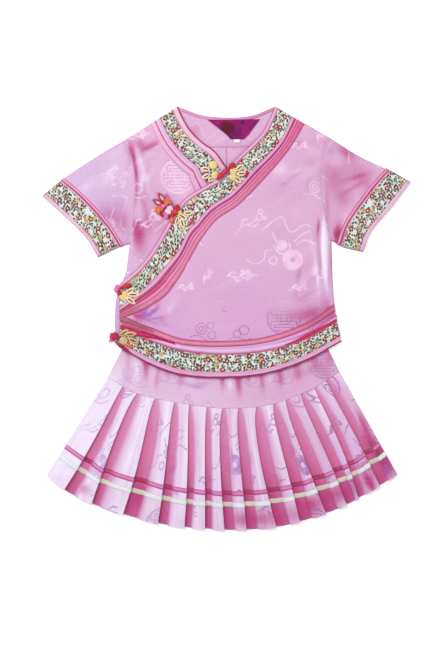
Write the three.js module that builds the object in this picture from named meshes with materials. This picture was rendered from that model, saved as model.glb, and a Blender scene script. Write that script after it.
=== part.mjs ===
// A girl's two-piece cheongsam set laid flat: a short-sleeved satin jacket with a
// slanted front lapel, lying with its hem over the waist of a pleated skirt.
// Millimetres, +Z up. The origin is on the table under the middle of the set and
// +Y runs toward the neck. Left and right in the names are the wearer's, so the
// left sleeve lies on the +X side.
import * as THREE from 'three';

// Layers
const CLOTH = 1.0; // one layer of brocade or trim
const SEAM = 0.3; // air between layers, and between pieces along a seam
const LAYER = CLOTH + SEAM;
const WAIST_STACK = 2.9; // height of the two layers of the elastic waistband
const JACKET_OVER_SKIRT = WAIST_STACK + SEAM;
const STEP_RUN = 70; // distance over which the jacket comes down off the skirt
const OVERLAP_EASE = 0.5; // extra air where the overlap crosses the underlap's hidden edge
const UNDERLAP_RUN = 80; // distance over which the overlap comes down off the underlap
const TRIM_EASE = 0.2; // extra air under the trims of the overlap

// Trim widths, measured in from a finished edge
const LAPEL = { binding: 6, floral: 28, pipingStart: 28.3, pipingEnd: 31, tapeStart: 36, tapeEnd: 46 };
const NECK = { binding: 4.5, floral: 31, tapeStart: 35, tapeEnd: 47 };
const CUFF = { binding: 6, floral: 34, tapeStart: 36, tapeEnd: 42 };
const RIBBON = { pinkLow: 0.283, pinkHigh: 0.322, creamLow: 0.187, creamHigh: 0.227 }; // shares up the pleats

// Grid steps
const SHOULDER_ACROSS = 4;
const NECK_ACROSS = 7;
const BODY_ACROSS = NECK_ACROSS + 2 * SHOULDER_ACROSS;
const SIDE_UP = 8; // rows from the hem to the underarm
const ARMHOLE_UP = 6; // rows from the underarm to the shoulder, and places across a sleeve
const UNDERLAP_ACROSS = 8;
const BAND_STEPS = 18;

const at = (x, y) => new THREE.Vector2(x, y);

// Places on the jacket
const NECK_POINT_LEFT = at(73, 318);
const NECK_POINT_RIGHT = at(-73, 318);
const ARMHOLE_TOP_LEFT = at(155, 271);
const ARMHOLE_TOP_RIGHT = at(-154, 267);
const UNDERARM_LEFT = at(157, 117);
const UNDERARM_RIGHT = at(-145, 112);
const OVERLAP_SIDE = -160; // the overlap's upright edge at the wearer's right
const LAPEL_FOOT = at(OVERLAP_SIDE, 52);

const LAPEL_EDGE = [
  NECK_POINT_LEFT, at(56, 281), at(16, 240), at(-10, 211), at(-38, 195), at(-62, 179),
  at(-79, 155), at(-107, 108), at(-123, 85), at(-139, 69), LAPEL_FOOT,
];
const NECK_EDGE_RIGHT = [NECK_POINT_RIGHT, at(-64, 298), at(-54, 282), at(-36, 264), at(-18, 251), at(0, 226)];
const UNDERLAP_HIDDEN_EDGE = [
  at(-160, 8), at(-118, 22), at(-86, 58), at(-52, 118), at(-16, 152), at(28, 176),
];
const BACK_NECK = [NECK_POINT_RIGHT, at(-38, 305), at(0, 301), at(38, 304), NECK_POINT_LEFT];
const ARMHOLE_LEFT = [UNDERARM_LEFT, at(145, 165), at(140, 210), at(145, 245), ARMHOLE_TOP_LEFT];
const ARMHOLE_RIGHT = [UNDERARM_RIGHT, at(-140, 165), at(-138, 205), at(-143, 240), ARMHOLE_TOP_RIGHT];
const SIDE_LEFT = [at(172, -34), at(163, 10), at(159, 60), UNDERARM_LEFT];
const SIDE_RIGHT = [at(-167, -36), at(-165, 30), at(-150, 73), UNDERARM_RIGHT];

// The jacket's lower edge and the lines of the trims above it, by place across
const HEM_ROWS = [
  { x: OVERLAP_SIDE, hem: -42, floralLow: -34, floralHigh: -13, tapeLow: -9, tapeHigh: 0 },
  { x: -115, hem: -68, floralLow: -59, floralHigh: -32, tapeLow: -18, tapeHigh: -8 },
  { x: -70, hem: -84, floralLow: -75, floralHigh: -48, tapeLow: -34, tapeHigh: -24 },
  { x: -10, hem: -89, floralLow: -80, floralHigh: -54, tapeLow: -42, tapeHigh: -33 },
  { x: 58, hem: -84, floralLow: -75, floralHigh: -49, tapeLow: -36, tapeHigh: -27 },
  { x: 118, hem: -63, floralLow: -54, floralHigh: -30, tapeLow: -16, tapeHigh: -6 },
  { x: 172, hem: -34, floralLow: -26, floralHigh: -4, tapeLow: 11, tapeHigh: 22 },
];
const PIPING_WIDTH = 3;
const TRIM_STOP = 3; // the neck trims stop this far from the lapel's edge

const SLEEVES = {
  left: {
    armhole: ARMHOLE_LEFT,
    fold: [ARMHOLE_TOP_LEFT, at(200, 243), at(242, 223), at(275, 204)],
    cuff: [at(205, 101), at(216, 129), at(248, 168), at(275, 204)],
    underarm: [UNDERARM_LEFT, at(175, 108), at(205, 101)],
  },
  right: {
    armhole: ARMHOLE_RIGHT,
    fold: [ARMHOLE_TOP_RIGHT, at(-190, 246), at(-241, 212), at(-275, 183)],
    cuff: [at(-193, 93), at(-212, 123), at(-250, 160), at(-275, 183)],
    underarm: [UNDERARM_RIGHT, at(-163, 107), at(-193, 93)],
  },
};

// Skirt: lines across from the wearer's right to left
const SKIRT_LINES = {
  waist: [at(-150, -20), at(-70, -46), at(0, -52), at(70, -46), at(146, -18)],
  bandFoot: [at(-155, -42), at(-72, -68), at(0, -74), at(72, -68), at(150, -40)],
  seam: [at(-178, -88), at(-133, -112), at(-77, -125), at(-5, -134), at(68, -128), at(130, -104), at(169, -79)],
};

// Knife pleats: the dark recess after each panel, where it starts at the yoke seam
// and at the hem, how far down the hem lies there, and how wide the recess opens
const PLEATS = [
  { top: -178, hem: -269, drop: -236, recess: 0 },
  { top: -154, hem: -241, drop: -259, recess: 16 },
  { top: -133, hem: -200, drop: -279, recess: 10 },
  { top: -106, hem: -152, drop: -296, recess: 18 },
  { top: -77, hem: -97, drop: -309, recess: 12 },
  { top: -55, hem: -59, drop: -314, recess: 9 },
  { top: -28, hem: -28, drop: -316, recess: 9 },
  { top: -5, hem: 4, drop: -318, recess: 14 },
  { top: 19, hem: 37, drop: -317, recess: 10 },
  { top: 46, hem: 82, drop: -312, recess: 13 },
  { top: 71, hem: 118, drop: -303, recess: 15 },
  { top: 90, hem: 157, drop: -290, recess: 14 },
  { top: 112, hem: 186, drop: -277, recess: 11 },
  { top: 132, hem: 201, drop: -268, recess: 6 },
  { top: 151, hem: 232, drop: -249, recess: 6 },
  { top: 169, hem: 256, drop: -234, recess: 0 },
];
const PLEAT_RISE = 4.6; // height of a pleat's crisp fold above its recess at the hem
const PLEAT_ROWS = [0, RIBBON.creamLow, RIBBON.creamHigh, RIBBON.pinkLow, RIBBON.pinkHigh, 1];
const PLAIN_PLEAT_ROWS = [0, 0.4, 1];

// The largest folds of the jacket's front: soft ridges between two places
const FOLDS = [
  { from: at(-139, 238), to: at(-124, 178), height: 2.4, width: 15 },
  { from: at(-146, 132), to: at(-128, 168), height: 1.8, width: 13 },
  { from: at(152, 128), to: at(104, 166), height: 2.8, width: 17 },
  { from: at(155, 112), to: at(116, 84), height: 2.4, width: 16 },
  { from: at(150, 256), to: at(120, 214), height: 2.2, width: 16 },
  { from: at(-96, 4), to: at(-62, 30), height: 2, width: 14 },
];

// Frog fastenings
const PETAL_HEIGHT = 2.4;
const FLATTENED = 0.6; // height of a knot or bud against its width
const STALK = { length: 0.28, half: 0.09 }; // behind a petal fan, as shares of its reach

const COLOURS = {
  jacket: 0xdcb0d2, underlap: 0xd4abce, back: 0xd59dca, skirt: 0xd9b9dc, satin: 0xd07a9c,
  binding: 0xcb9ab3, floral: 0xeee6cf, label: 0x8a0a66, tab: 0xf6f2f4, petal: 0xe4daa0,
  knot: 0xb7073e, bud: 0xe2887f, cream: 0xe5ecf2, pink: 0xd991c9,
};

const set = new THREE.Group();

/** Adds a named piece in its own satin or cotton finish. */
function piece(name, geometry, colour, roughness = 0.5) {
  const material = new THREE.MeshStandardMaterial({ color: colour, roughness, metalness: 0 });
  const mesh = new THREE.Mesh(geometry, material);
  mesh.name = name;
  set.add(mesh);
  return mesh;
}

// ---- Lines in the plane ----

/** Evenly spaced points along a smooth line through the places. */
function smooth(places, steps) {
  const spatial = places.map((place) => new THREE.Vector3(place.x, place.y, 0));
  const curve = new THREE.CatmullRomCurve3(spatial, false, 'centripetal');
  return curve.getSpacedPoints(steps).map((point) => at(point.x, point.y));
}

/** One line from several that meet end to end. */
const joined = (...lines) => lines.flatMap((line, index) => (index ? line.slice(1) : line));

/** Points of a line at equal steps from its first x to its last. */
function byWidth(line, steps) {
  const first = line[0].x;
  const last = line[line.length - 1].x;
  const points = [];
  for (let step = 0; step <= steps; step += 1) {
    const x = first + ((last - first) * step) / steps;
    points.push(at(x, heightAt(line, x)));
  }
  return points;
}

/** Height of a line that runs across, at one x. */
function heightAt(line, x) {
  for (let index = 1; index < line.length; index += 1) {
    const from = line[index - 1];
    const to = line[index];
    const share = (x - from.x) / (to.x - from.x || 1);
    if (share >= -1e-9 && share <= 1 + 1e-9) return from.y + (to.y - from.y) * share;
  }
  return line[line.length - 1].y;
}

/** Point of a line at a distance from its start. */
function along(line, distance) {
  let left = distance;
  for (let index = 1; index < line.length; index += 1) {
    const length = line[index - 1].distanceTo(line[index]);
    if (left <= length) return line[index - 1].clone().lerp(line[index], left / length);
    left -= length;
  }
  return line[line.length - 1].clone();
}

function lengthOf(line) {
  let total = 0;
  for (let index = 1; index < line.length; index += 1) total += line[index - 1].distanceTo(line[index]);
  return total;
}

/** The same line, further up the table. */
const raised = (line, distance) => line.map((place) => place.clone().add(at(0, distance)));

/** Line beside another, to the left of its run; ends may slide along a given direction. */
function beside(line, distance, startAlong = null, endAlong = null) {
  return line.map((point, index) => {
    const before = line[Math.max(index - 1, 0)];
    const after = line[Math.min(index + 1, line.length - 1)];
    const run = after.clone().sub(before).normalize();
    const normal = at(-run.y, run.x);
    const slide = (index === 0 && startAlong) || (index === line.length - 1 && endAlong) || normal;
    return point.clone().addScaledVector(slide, distance / slide.dot(normal));
  });
}

const easeStep = (share) => {
  const kept = Math.min(Math.max(share, 0), 1);
  return kept * kept * (3 - 2 * kept);
};

/** Distance from a place to an outline, zero inside it. */
function distanceOutside(outline, x, y) {
  let inside = false;
  let nearest = Infinity;
  for (let index = 0; index < outline.length; index += 1) {
    const from = outline[index];
    const to = outline[(index + 1) % outline.length];
    if (from.y > y !== to.y > y && x < ((to.x - from.x) * (y - from.y)) / (to.y - from.y) + from.x) inside = !inside;
    const run = to.clone().sub(from);
    const share = Math.min(Math.max(((x - from.x) * run.x + (y - from.y) * run.y) / (run.lengthSq() || 1), 0), 1);
    nearest = Math.min(nearest, Math.hypot(x - from.x - run.x * share, y - from.y - run.y * share));
  }
  return inside ? 0 : nearest;
}

// ---- Solids from grids of places ----

/** Rows of places over a four-sided panel; rows run from the lower line to the upper. */
function panelRows(lower, upper, left, right, blends = null) {
  return left.map((leftPlace, row) => {
    const up = blends ? blends[row] : row / (left.length - 1);
    return lower.map((lowPlace, column) => {
      const across = column / (lower.length - 1);
      const place = lowPlace.clone().multiplyScalar(1 - up).addScaledVector(upper[column], up);
      const leftShift = leftPlace.clone().sub(lower[0].clone().lerp(upper[0], up));
      const rightShift = right[row].clone().sub(lower[lower.length - 1].clone().lerp(upper[upper.length - 1], up));
      return place.addScaledVector(leftShift, 1 - across).addScaledVector(rightShift, across);
    });
  });
}

function closedGeometry(positions, triangles) {
  const geometry = new THREE.BufferGeometry();
  geometry.setAttribute('position', new THREE.Float32BufferAttribute(positions.flat(), 3));
  geometry.setIndex(triangles.flat());
  geometry.computeVertexNormals();
  return geometry;
}

/** Signed area of a grid seen from above, to tell which way its rows turn. */
function turnOf(rows) {
  const last = rows.length - 1;
  const end = rows[0].length - 1;
  const corners = [rows[0][0], rows[0][end], rows[last][end], rows[last][0]];
  return THREE.ShapeUtils.area(corners);
}

/** Closed layer of cloth over a grid of places, from a floor height up by its thickness. */
function layer(rows, floor, thickness = CLOTH) {
  const columns = rows[0].length;
  const count = rows.length * columns;
  const positions = [];
  for (const rise of [0, thickness]) {
    rows.forEach((row, up) => row.forEach((place, across) => {
      positions.push([place.x, place.y, floor(place.x, place.y, up, across) + rise]);
    }));
  }
  const triangles = [];
  const quad = (a, b, c, d) => triangles.push([a, b, c], [a, c, d]);
  for (let row = 0; row < rows.length - 1; row += 1) {
    for (let column = 0; column < columns - 1; column += 1) {
      const a = row * columns + column;
      quad(a + count, a + 1 + count, a + 1 + columns + count, a + columns + count);
      triangles.push([a, a + 1 + columns, a + 1], [a, a + columns, a + 1 + columns]);
    }
  }
  const rim = [];
  for (let column = 0; column < columns; column += 1) rim.push(column);
  for (let row = 1; row < rows.length; row += 1) rim.push(row * columns + columns - 1);
  for (let column = columns - 2; column >= 0; column -= 1) rim.push((rows.length - 1) * columns + column);
  for (let row = rows.length - 2; row > 0; row -= 1) rim.push(row * columns);
  rim.forEach((from, index) => {
    const to = rim[(index + 1) % rim.length];
    quad(from, to, to + count, from + count);
  });
  if (turnOf(rows) < 0) triangles.forEach((triangle) => triangle.reverse());
  return closedGeometry(positions, triangles);
}

/** Flattened tube of cloth: rows are stations along it, from one folded edge to the other. */
function flatTube(rows, floor, height, thickness = CLOTH) {
  const width = rows[0].length;
  const ring = 2 * width;
  const positions = [];
  for (const inset of [0, thickness]) {
    rows.forEach((row) => {
      const shifted = row.map((place) => place.clone());
      const nearEnd = row[1].clone().sub(row[0]).normalize();
      const farEnd = row[width - 2].clone().sub(row[width - 1]).normalize();
      shifted[0].addScaledVector(nearEnd, inset);
      shifted[width - 1].addScaledVector(farEnd, inset);
      shifted.forEach((place) => positions.push([place.x, place.y, floor(place.x, place.y) + inset]));
      shifted.reverse().forEach((place) => {
        positions.push([place.x, place.y, floor(place.x, place.y) + height - inset]);
      });
    });
  }
  const wall = rows.length * ring;
  const triangles = [];
  const quad = (a, b, c, d) => triangles.push([a, b, c], [a, c, d]);
  const last = (rows.length - 1) * ring;
  for (let step = 0; step < ring; step += 1) {
    const next = (step + 1) % ring;
    for (let row = 0; row < rows.length - 1; row += 1) {
      const here = row * ring;
      const there = here + ring;
      quad(here + next, here + step, there + step, there + next);
      quad(wall + here + step, wall + here + next, wall + there + next, wall + there + step);
    }
    quad(step, next, wall + next, wall + step);
    quad(last + next, last + step, wall + last + step, wall + last + next);
  }
  if (turnOf(rows) < 0) triangles.forEach((triangle) => triangle.reverse());
  return closedGeometry(positions, triangles);
}

/** Band of trim between two lines of equal length. */
const band = (inner, outer, floor) => layer([inner, outer], floor);

// ---- Skirt ----

const waistLine = smooth(SKIRT_LINES.waist, BODY_ACROSS);
const bandFootLine = smooth(SKIRT_LINES.bandFoot, BODY_ACROSS);
const seamLine = smooth(SKIRT_LINES.seam, BODY_ACROSS);

function addSkirtTop() {
  piece('skirt_waistband', flatTube([bandFootLine, waistLine], () => 0, WAIST_STACK), COLOURS.skirt);
  const yokeTop = raised(bandFootLine, -SEAM);
  const middle = yokeTop.map((place, index) => place.clone().lerp(seamLine[index], 0.5));
  const yoke = [raised(seamLine, SEAM), middle, yokeTop];
  piece('skirt_yoke_back', layer(yoke, () => 0), COLOURS.skirt);
  piece('skirt_yoke_front', layer(yoke, () => LAYER), COLOURS.skirt);
}

/** Columns of the pleated cloth: for each pleat its rise, its crisp fold and its recess. */
function pleatColumns() {
  const columns = [];
  PLEATS.forEach((pleat, index) => {
    if (index === 0) {
      columns.push({ top: pleat.top, hem: pleat.hem, drop: pleat.drop, rise: 0 });
      return;
    }
    const start = PLEATS[index - 1];
    const edge = index === PLEATS.length - 1;
    const fold = pleat.hem - pleat.recess / 2;
    const swell = start.hem + start.recess / 2 + (fold - start.hem) * 0.35;
    const share = (place) => (place - start.hem) / (pleat.hem - start.hem);
    const between = (place, rise) => columns.push({
      top: start.top + (pleat.top - start.top) * share(place),
      hem: place,
      drop: start.drop + (pleat.drop - start.drop) * share(place),
      rise,
    });
    between(swell, 0.7);
    between(fold, edge ? 0.2 : 1);
    if (!edge) between(fold + 2, 0);
    if (!edge) between(pleat.hem + pleat.recess / 2, 0.05);
  });
  return columns;
}

function addPleats() {
  const columns = pleatColumns();
  const hemLine = columns.map((column) => at(column.hem, column.drop));
  const seamPlaces = columns.map((column) => at(column.top, heightAt(seamLine, column.top) - SEAM));
  const gridAt = (shares) => shares.map((up) => hemLine.map((place, index) => place.clone().lerp(seamPlaces[index], up)));
  const grid = gridAt(PLEAT_ROWS);
  const floorFrom = (height, firstRow) => (x, y, row, column) => {
    const open = 1 - PLEAT_ROWS[row + firstRow];
    return height + PLEAT_RISE * columns[column].rise * (0.12 + 0.88 * open);
  };
  piece('skirt_pleats_front', layer(grid, floorFrom(LAYER, 0)), COLOURS.skirt);
  piece('skirt_pleats_back', layer(gridAt(PLAIN_PLEAT_ROWS), () => 0), COLOURS.skirt);
  const ribbons = [['skirt_ribbon_cream', 1, COLOURS.cream], ['skirt_ribbon_pink', 3, COLOURS.pink]];
  for (const [name, firstRow, colour] of ribbons) {
    piece(name, layer(grid.slice(firstRow, firstRow + 2), floorFrom(2 * LAYER, firstRow)), colour);
  }
}

// ---- Jacket surfaces ----

const skirtUnderJacket = [...waistLine, ...seamLine.slice().reverse()];

/** Height of the jacket's underside: on the table, and up over the skirt's waist. */
function jacketFloor(x, y) {
  const away = distanceOutside(skirtUnderJacket, x, y) - 4;
  return JACKET_OVER_SKIRT * (1 - easeStep(away / STEP_RUN));
}

const lapelLine = smooth(LAPEL_EDGE, 3 * BAND_STEPS);
const underlapHidden = smooth(UNDERLAP_HIDDEN_EDGE, UNDERLAP_ACROSS);
const underlapNeck = [underlapHidden[UNDERLAP_ACROSS], at(14, 205), ...smooth(NECK_EDGE_RIGHT, 12).reverse()];
const underlapOutline = [...underlapHidden, ...underlapNeck, ARMHOLE_TOP_RIGHT, UNDERARM_RIGHT];

/** Rise of the front's cloth where its largest folds cross a place. */
function foldRise(x, y) {
  return FOLDS.reduce((total, fold) => {
    const run = fold.to.clone().sub(fold.from);
    const share = ((x - fold.from.x) * run.x + (y - fold.from.y) * run.y) / run.lengthSq();
    const kept = Math.min(Math.max(share, 0), 1);
    const away = Math.hypot(x - fold.from.x - run.x * kept, y - fold.from.y - run.y * kept);
    return total + fold.height * Math.exp(-((away / fold.width) ** 2));
  }, 0);
}

const underFloor = (x, y) => jacketFloor(x, y) + LAYER + foldRise(x, y);

/** The overlap lies on the underlap, and beyond it comes down onto the back. */
function overFloor(x, y) {
  const away = distanceOutside(underlapOutline, x, y) - 20;
  return underFloor(x, y) + (LAYER + OVERLAP_EASE) * (1 - easeStep(away / UNDERLAP_RUN));
}
const onOverlap = (x, y) => overFloor(x, y) + LAYER + TRIM_EASE;
const onUnderlap = (x, y) => underFloor(x, y) + LAYER;

function hemLine(column) {
  const places = HEM_ROWS.map((row) => at(row.x, row[column]));
  const end = places[places.length - 1];
  end.x = sideAt(end.y);
  return smooth(places, BAND_STEPS);
}

/** x of the jacket's left side at a height above the hem. */
function sideAt(y) {
  const side = smooth(SIDE_LEFT, 20).map((place) => at(place.y, place.x));
  return heightAt(side, y);
}

function addJacketBody() {
  const backHem = smooth(HEM_ROWS.map((row, index) => at(index ? row.x : SIDE_RIGHT[0].x, row.hem + 1)), BODY_ACROSS);
  const rightBack = joined(smooth(SIDE_RIGHT, SIDE_UP), smooth(ARMHOLE_RIGHT, ARMHOLE_UP));
  const leftSide = joined(smooth(SIDE_LEFT, SIDE_UP), smooth(ARMHOLE_LEFT, ARMHOLE_UP));
  const shares = leftSide.map((_, row) => lengthOf(leftSide.slice(0, row + 1)) / lengthOf(leftSide));
  const leftShoulder = byWidth([NECK_POINT_LEFT, ARMHOLE_TOP_LEFT], SHOULDER_ACROSS);
  const rightShoulder = byWidth([ARMHOLE_TOP_RIGHT, NECK_POINT_RIGHT], SHOULDER_ACROSS);
  const top = joined(rightShoulder, byWidth(smooth(BACK_NECK, 12), NECK_ACROSS), leftShoulder);
  backHem[0] = rightBack[0].clone();
  backHem[BODY_ACROSS] = leftSide[0].clone();
  const body = panelRows(backHem, top, rightBack, leftSide, shares);
  piece('jacket_back', layer(body, jacketFloor), COLOURS.back);

  const overTop = joined(byWidth(lapelLine.slice().reverse(), NECK_ACROSS + SHOULDER_ACROSS), leftShoulder);
  const overHem = byWidth(hemLine('hem'), BODY_ACROSS);
  const upright = [at(OVERLAP_SIDE, HEM_ROWS[0].hem), LAPEL_FOOT];
  const overRight = shares.map((share) => along(upright, lengthOf(upright) * share));
  overHem[BODY_ACROSS] = leftSide[0].clone();
  const over = panelRows(overHem, overTop, overRight, leftSide, shares);
  piece('jacket_front_over', layer(over, overFloor), COLOURS.jacket);

  const underSide = joined(smooth([underlapHidden[0], SIDE_RIGHT[2], UNDERARM_RIGHT], 3), smooth(ARMHOLE_RIGHT, ARMHOLE_UP));
  const neckSide = underSide.map((_, row) => along(underlapNeck, (lengthOf(underlapNeck) * row) / (underSide.length - 1)));
  const underTop = byWidth([ARMHOLE_TOP_RIGHT, NECK_POINT_RIGHT], UNDERLAP_ACROSS);
  const under = panelRows(underlapHidden, underTop, underSide, neckSide);
  piece('jacket_front_under', layer(under, underFloor), COLOURS.underlap);
}

// ---- Sleeves and cuffs ----

function addSleeve(side) {
  const cut = SLEEVES[side];
  const fold = smooth(cut.fold, 30).reverse();
  const underarm = smooth(cut.underarm, 20).reverse();
  const cuff = smooth(cut.cuff, ARMHOLE_UP);
  const armhole = smooth(cut.armhole, ARMHOLE_UP);
  const reach = cuff[3].distanceTo(armhole[3]);
  const trims = [CUFF.binding, CUFF.binding + SEAM, CUFF.floral, CUFF.tapeStart, CUFF.tapeEnd];
  const underLength = lengthOf(underarm);
  const foldLength = lengthOf(fold);
  const rest = [0.35, 0.7, 1];
  const stations = [
    ...[0, ...trims].map((inset) => ({ under: inset, fold: inset, blend: inset / reach })),
    ...rest.map((share) => ({
      under: CUFF.tapeEnd + (underLength - CUFF.tapeEnd) * share,
      fold: CUFF.tapeEnd + (foldLength - CUFF.tapeEnd) * share,
      blend: CUFF.tapeEnd / reach + (1 - CUFF.tapeEnd / reach) * share,
    })),
  ];
  const rows = panelRows(
    cuff, armhole,
    stations.map((station) => along(underarm, station.under)),
    stations.map((station) => along(fold, station.fold)),
    stations.map((station) => station.blend),
  );
  const outline = [...rows[0], ...rows[5].slice().reverse()];
  const lifted = (x, y) => LAYER * (1 - easeStep((distanceOutside(outline, x, y) - 1) / 16));
  const outward = side === 'left' ? SEAM : -SEAM;
  const seamed = rows[rows.length - 1].map((place) => place.clone().add(at(outward, 0)));
  const height = 2 * CLOTH + SEAM;
  const sleeve = [...rows.slice(0, -1), seamed];
  piece(`sleeve_${side}`, flatTube(sleeve, lifted, height), COLOURS.jacket);

  const ringHeight = height + 2 * LAYER;
  const widened = (row) => {
    const shifted = row.map((place) => place.clone());
    const last = row.length - 1;
    shifted[0].addScaledVector(row[0].clone().sub(row[1]).normalize(), LAYER);
    shifted[last].addScaledVector(row[last].clone().sub(row[last - 1]).normalize(), LAYER);
    return shifted;
  };
  const ring = (name, from, to, colour) => {
    piece(`cuff_${side}_${name}`, flatTube([rows[from], rows[to]].map(widened), () => 0, ringHeight), colour);
  };
  ring('binding', 0, 1, COLOURS.binding);
  ring('floral', 2, 3, COLOURS.floral);
  ring('tape', 4, 5, COLOURS.satin);
}

// ---- Trims ----

function addLapelTrims() {
  const shoulder = ARMHOLE_TOP_LEFT.clone().sub(NECK_POINT_LEFT).normalize();
  const down = at(0, -1);
  const stations = smooth(LAPEL_EDGE, BAND_STEPS);
  const line = (distance) => beside(stations, distance, shoulder, down);
  const trims = [
    ['lapel_binding', 0.2, LAPEL.binding, COLOURS.binding],
    ['lapel_floral', LAPEL.binding + SEAM, LAPEL.floral, COLOURS.floral],
    ['lapel_piping', LAPEL.pipingStart, LAPEL.pipingEnd, COLOURS.binding],
    ['lapel_tape', LAPEL.tapeStart, LAPEL.tapeEnd, COLOURS.satin],
  ];
  for (const [name, from, to, colour] of trims) piece(name, band(line(from), line(to), onOverlap), colour);
}

function addHemTrims() {
  const bindingTop = raised(hemLine('floralLow'), -SEAM);
  piece('hem_binding', band(hemLine('hem'), bindingTop, onOverlap), COLOURS.binding);
  piece('hem_floral', band(hemLine('floralLow'), hemLine('floralHigh'), onOverlap), COLOURS.floral);
  const pipingFoot = raised(hemLine('floralHigh'), SEAM).slice(1);
  piece('hem_piping', band(pipingFoot, raised(pipingFoot, PIPING_WIDTH), onOverlap), COLOURS.binding);
  piece('hem_tape', band(hemLine('tapeLow').slice(1), hemLine('tapeHigh').slice(1), onOverlap), COLOURS.satin);
}

/** Keeps the part of a line before it reaches the lapel's edge. */
function beforeLapel(line) {
  const fine = smooth(line, 120);
  const edge = lapelLine;
  const kept = [];
  for (const place of fine) {
    const nearest = Math.min(...edge.map((point) => point.distanceTo(place)));
    const below = place.y < heightAt(edge.slice().reverse(), place.x);
    if (below || nearest < TRIM_STOP) break;
    kept.push(place);
  }
  return smooth(kept, 9);
}

function addNeckTrims() {
  const shoulder = ARMHOLE_TOP_RIGHT.clone().sub(NECK_POINT_RIGHT).normalize();
  const outer = NECK_EDGE_RIGHT[NECK_EDGE_RIGHT.length - 1].clone().sub(NECK_EDGE_RIGHT[4]).normalize();
  const extended = [...NECK_EDGE_RIGHT, NECK_EDGE_RIGHT[5].clone().addScaledVector(outer, 24)];
  const stations = smooth(extended, 12);
  const line = (distance) => beforeLapel(beside(stations, -distance, shoulder));
  const trims = [
    ['neck_binding_right', 0.2, NECK.binding, COLOURS.binding],
    ['neck_floral_right', NECK.binding + SEAM, NECK.floral, COLOURS.floral],
    ['neck_tape_right', NECK.tapeStart, NECK.tapeEnd, COLOURS.satin],
  ];
  for (const [name, from, to, colour] of trims) piece(name, band(line(from), line(to), onUnderlap), colour);
  const backEdge = smooth(BACK_NECK, 20).slice(3, 18);
  const onBack = () => LAYER;
  piece('neck_binding_back', band(backEdge, beside(backEdge, -NECK.binding), onBack), COLOURS.binding);
  const label = [[at(8, 271), at(31, 271)], [at(-31, 295), at(53, 295)]];
  piece('neck_label', layer(label, onBack), COLOURS.label, 0.7);
  const tab = [[at(10, 263), at(22, 263)], [at(10, 270.5), at(22, 270.5)]];
  piece('size_tab', layer(tab, onBack), COLOURS.tab, 0.7);
}

// ---- Frog fastenings ----

/** Fan of looped petals lying flat, its root at the origin, its reach along +X and a stalk behind. */
function petalFan(loops, reach, spread) {
  const shape = new THREE.Shape();
  const steps = loops * 5;
  shape.moveTo(-reach * STALK.length, -reach * STALK.half);
  for (let step = 0; step <= steps; step += 1) {
    const turn = spread * (step / steps - 0.5);
    const lobe = Math.abs(Math.sin((Math.PI * loops * step) / steps));
    const radius = reach * (0.62 + 0.38 * lobe);
    shape.lineTo(radius * Math.cos(turn), radius * Math.sin(turn));
  }
  shape.lineTo(-reach * STALK.length, reach * STALK.half);
  return new THREE.ExtrudeGeometry(shape, { depth: PETAL_HEIGHT, bevelEnabled: false, steps: 1 });
}

/** Egg-shaped knot or bud, longer along X and flattened where it lies. */
function knotBall(radius, length) {
  const ball = new THREE.SphereGeometry(radius, 10, 6);
  ball.scale(length / (2 * radius), 1, FLATTENED);
  return ball;
}

/** Highest trim under a round patch of the overlap or the underlap. */
function seatUnder(x, y, radius, cloth = onOverlap) {
  const places = [[0, 0], [1, 0], [-1, 0], [0, 1], [0, -1]];
  return Math.max(...places.map(([across, up]) => cloth(x + across * radius, y + up * radius))) + LAYER;
}

// Each frog's looped petals: root, direction, size and the cloth whose trims they lie on
const PETALS = [
  { name: 'frog_neck_petals_right', x: -12, y: 222, turn: 178, reach: 25, spread: 1.6, loops: 3, cloth: onUnderlap },
  { name: 'frog_neck_petals_left', x: 4, y: 218.5, turn: -20, reach: 25, spread: 1.6, loops: 3, cloth: onOverlap },
  { name: 'frog_chest_petals', x: -72, y: 157, turn: -50, reach: 29, spread: 1.5, loops: 3, cloth: onOverlap },
  { name: 'frog_side_petals', x: -157, y: 39, turn: -20, reach: 31, spread: 1.2, loops: 3, cloth: onOverlap },
  { name: 'frog_hem_petals', x: -160, y: -27, turn: -8, reach: 32, spread: 1.1, loops: 3, cloth: onOverlap },
];

// Knots and buds: place, direction, half width, length, and the petals they lie on, if any
const KNOTS = [
  { name: 'frog_neck_knot', x: -2, y: 221, turn: 43, radius: 3.6, length: 22, on: 'frog_neck_petals_left' },
  { name: 'frog_chest_knot', x: -76, y: 161, turn: 60, radius: 5, length: 17, on: 'frog_chest_petals' },
  { name: 'frog_side_knot', x: -163, y: 42, turn: 60, radius: 5, length: 13, on: 'frog_side_petals' },
  { name: 'frog_side_bud', x: -150, y: 51, turn: 20, radius: 4, length: 10, on: null },
  { name: 'frog_hem_knot', x: -167, y: -26, turn: 20, radius: 6, length: 15, on: 'frog_hem_petals' },
  { name: 'frog_hem_roll', x: -155, y: -43, turn: -38, radius: 3.6, length: 21, on: null },
];

// The flower of loops and buds on the underlap, opposite the chest petals
const CHEST_LOOPS = {
  name: 'frog_chest_loops', x: -89, y: 167, turn: 148, reach: 28, spread: 2.2, loops: 4, cloth: onUnderlap,
};
const CHEST_BUDS = [
  { name: 'frog_chest_bud_top', x: -91, y: 175, radius: 3.6 },
  { name: 'frog_chest_bud_side', x: -100, y: 166, radius: 3.6 },
  { name: 'frog_chest_bud_foot', x: -92, y: 162, radius: 3.2 },
];

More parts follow.
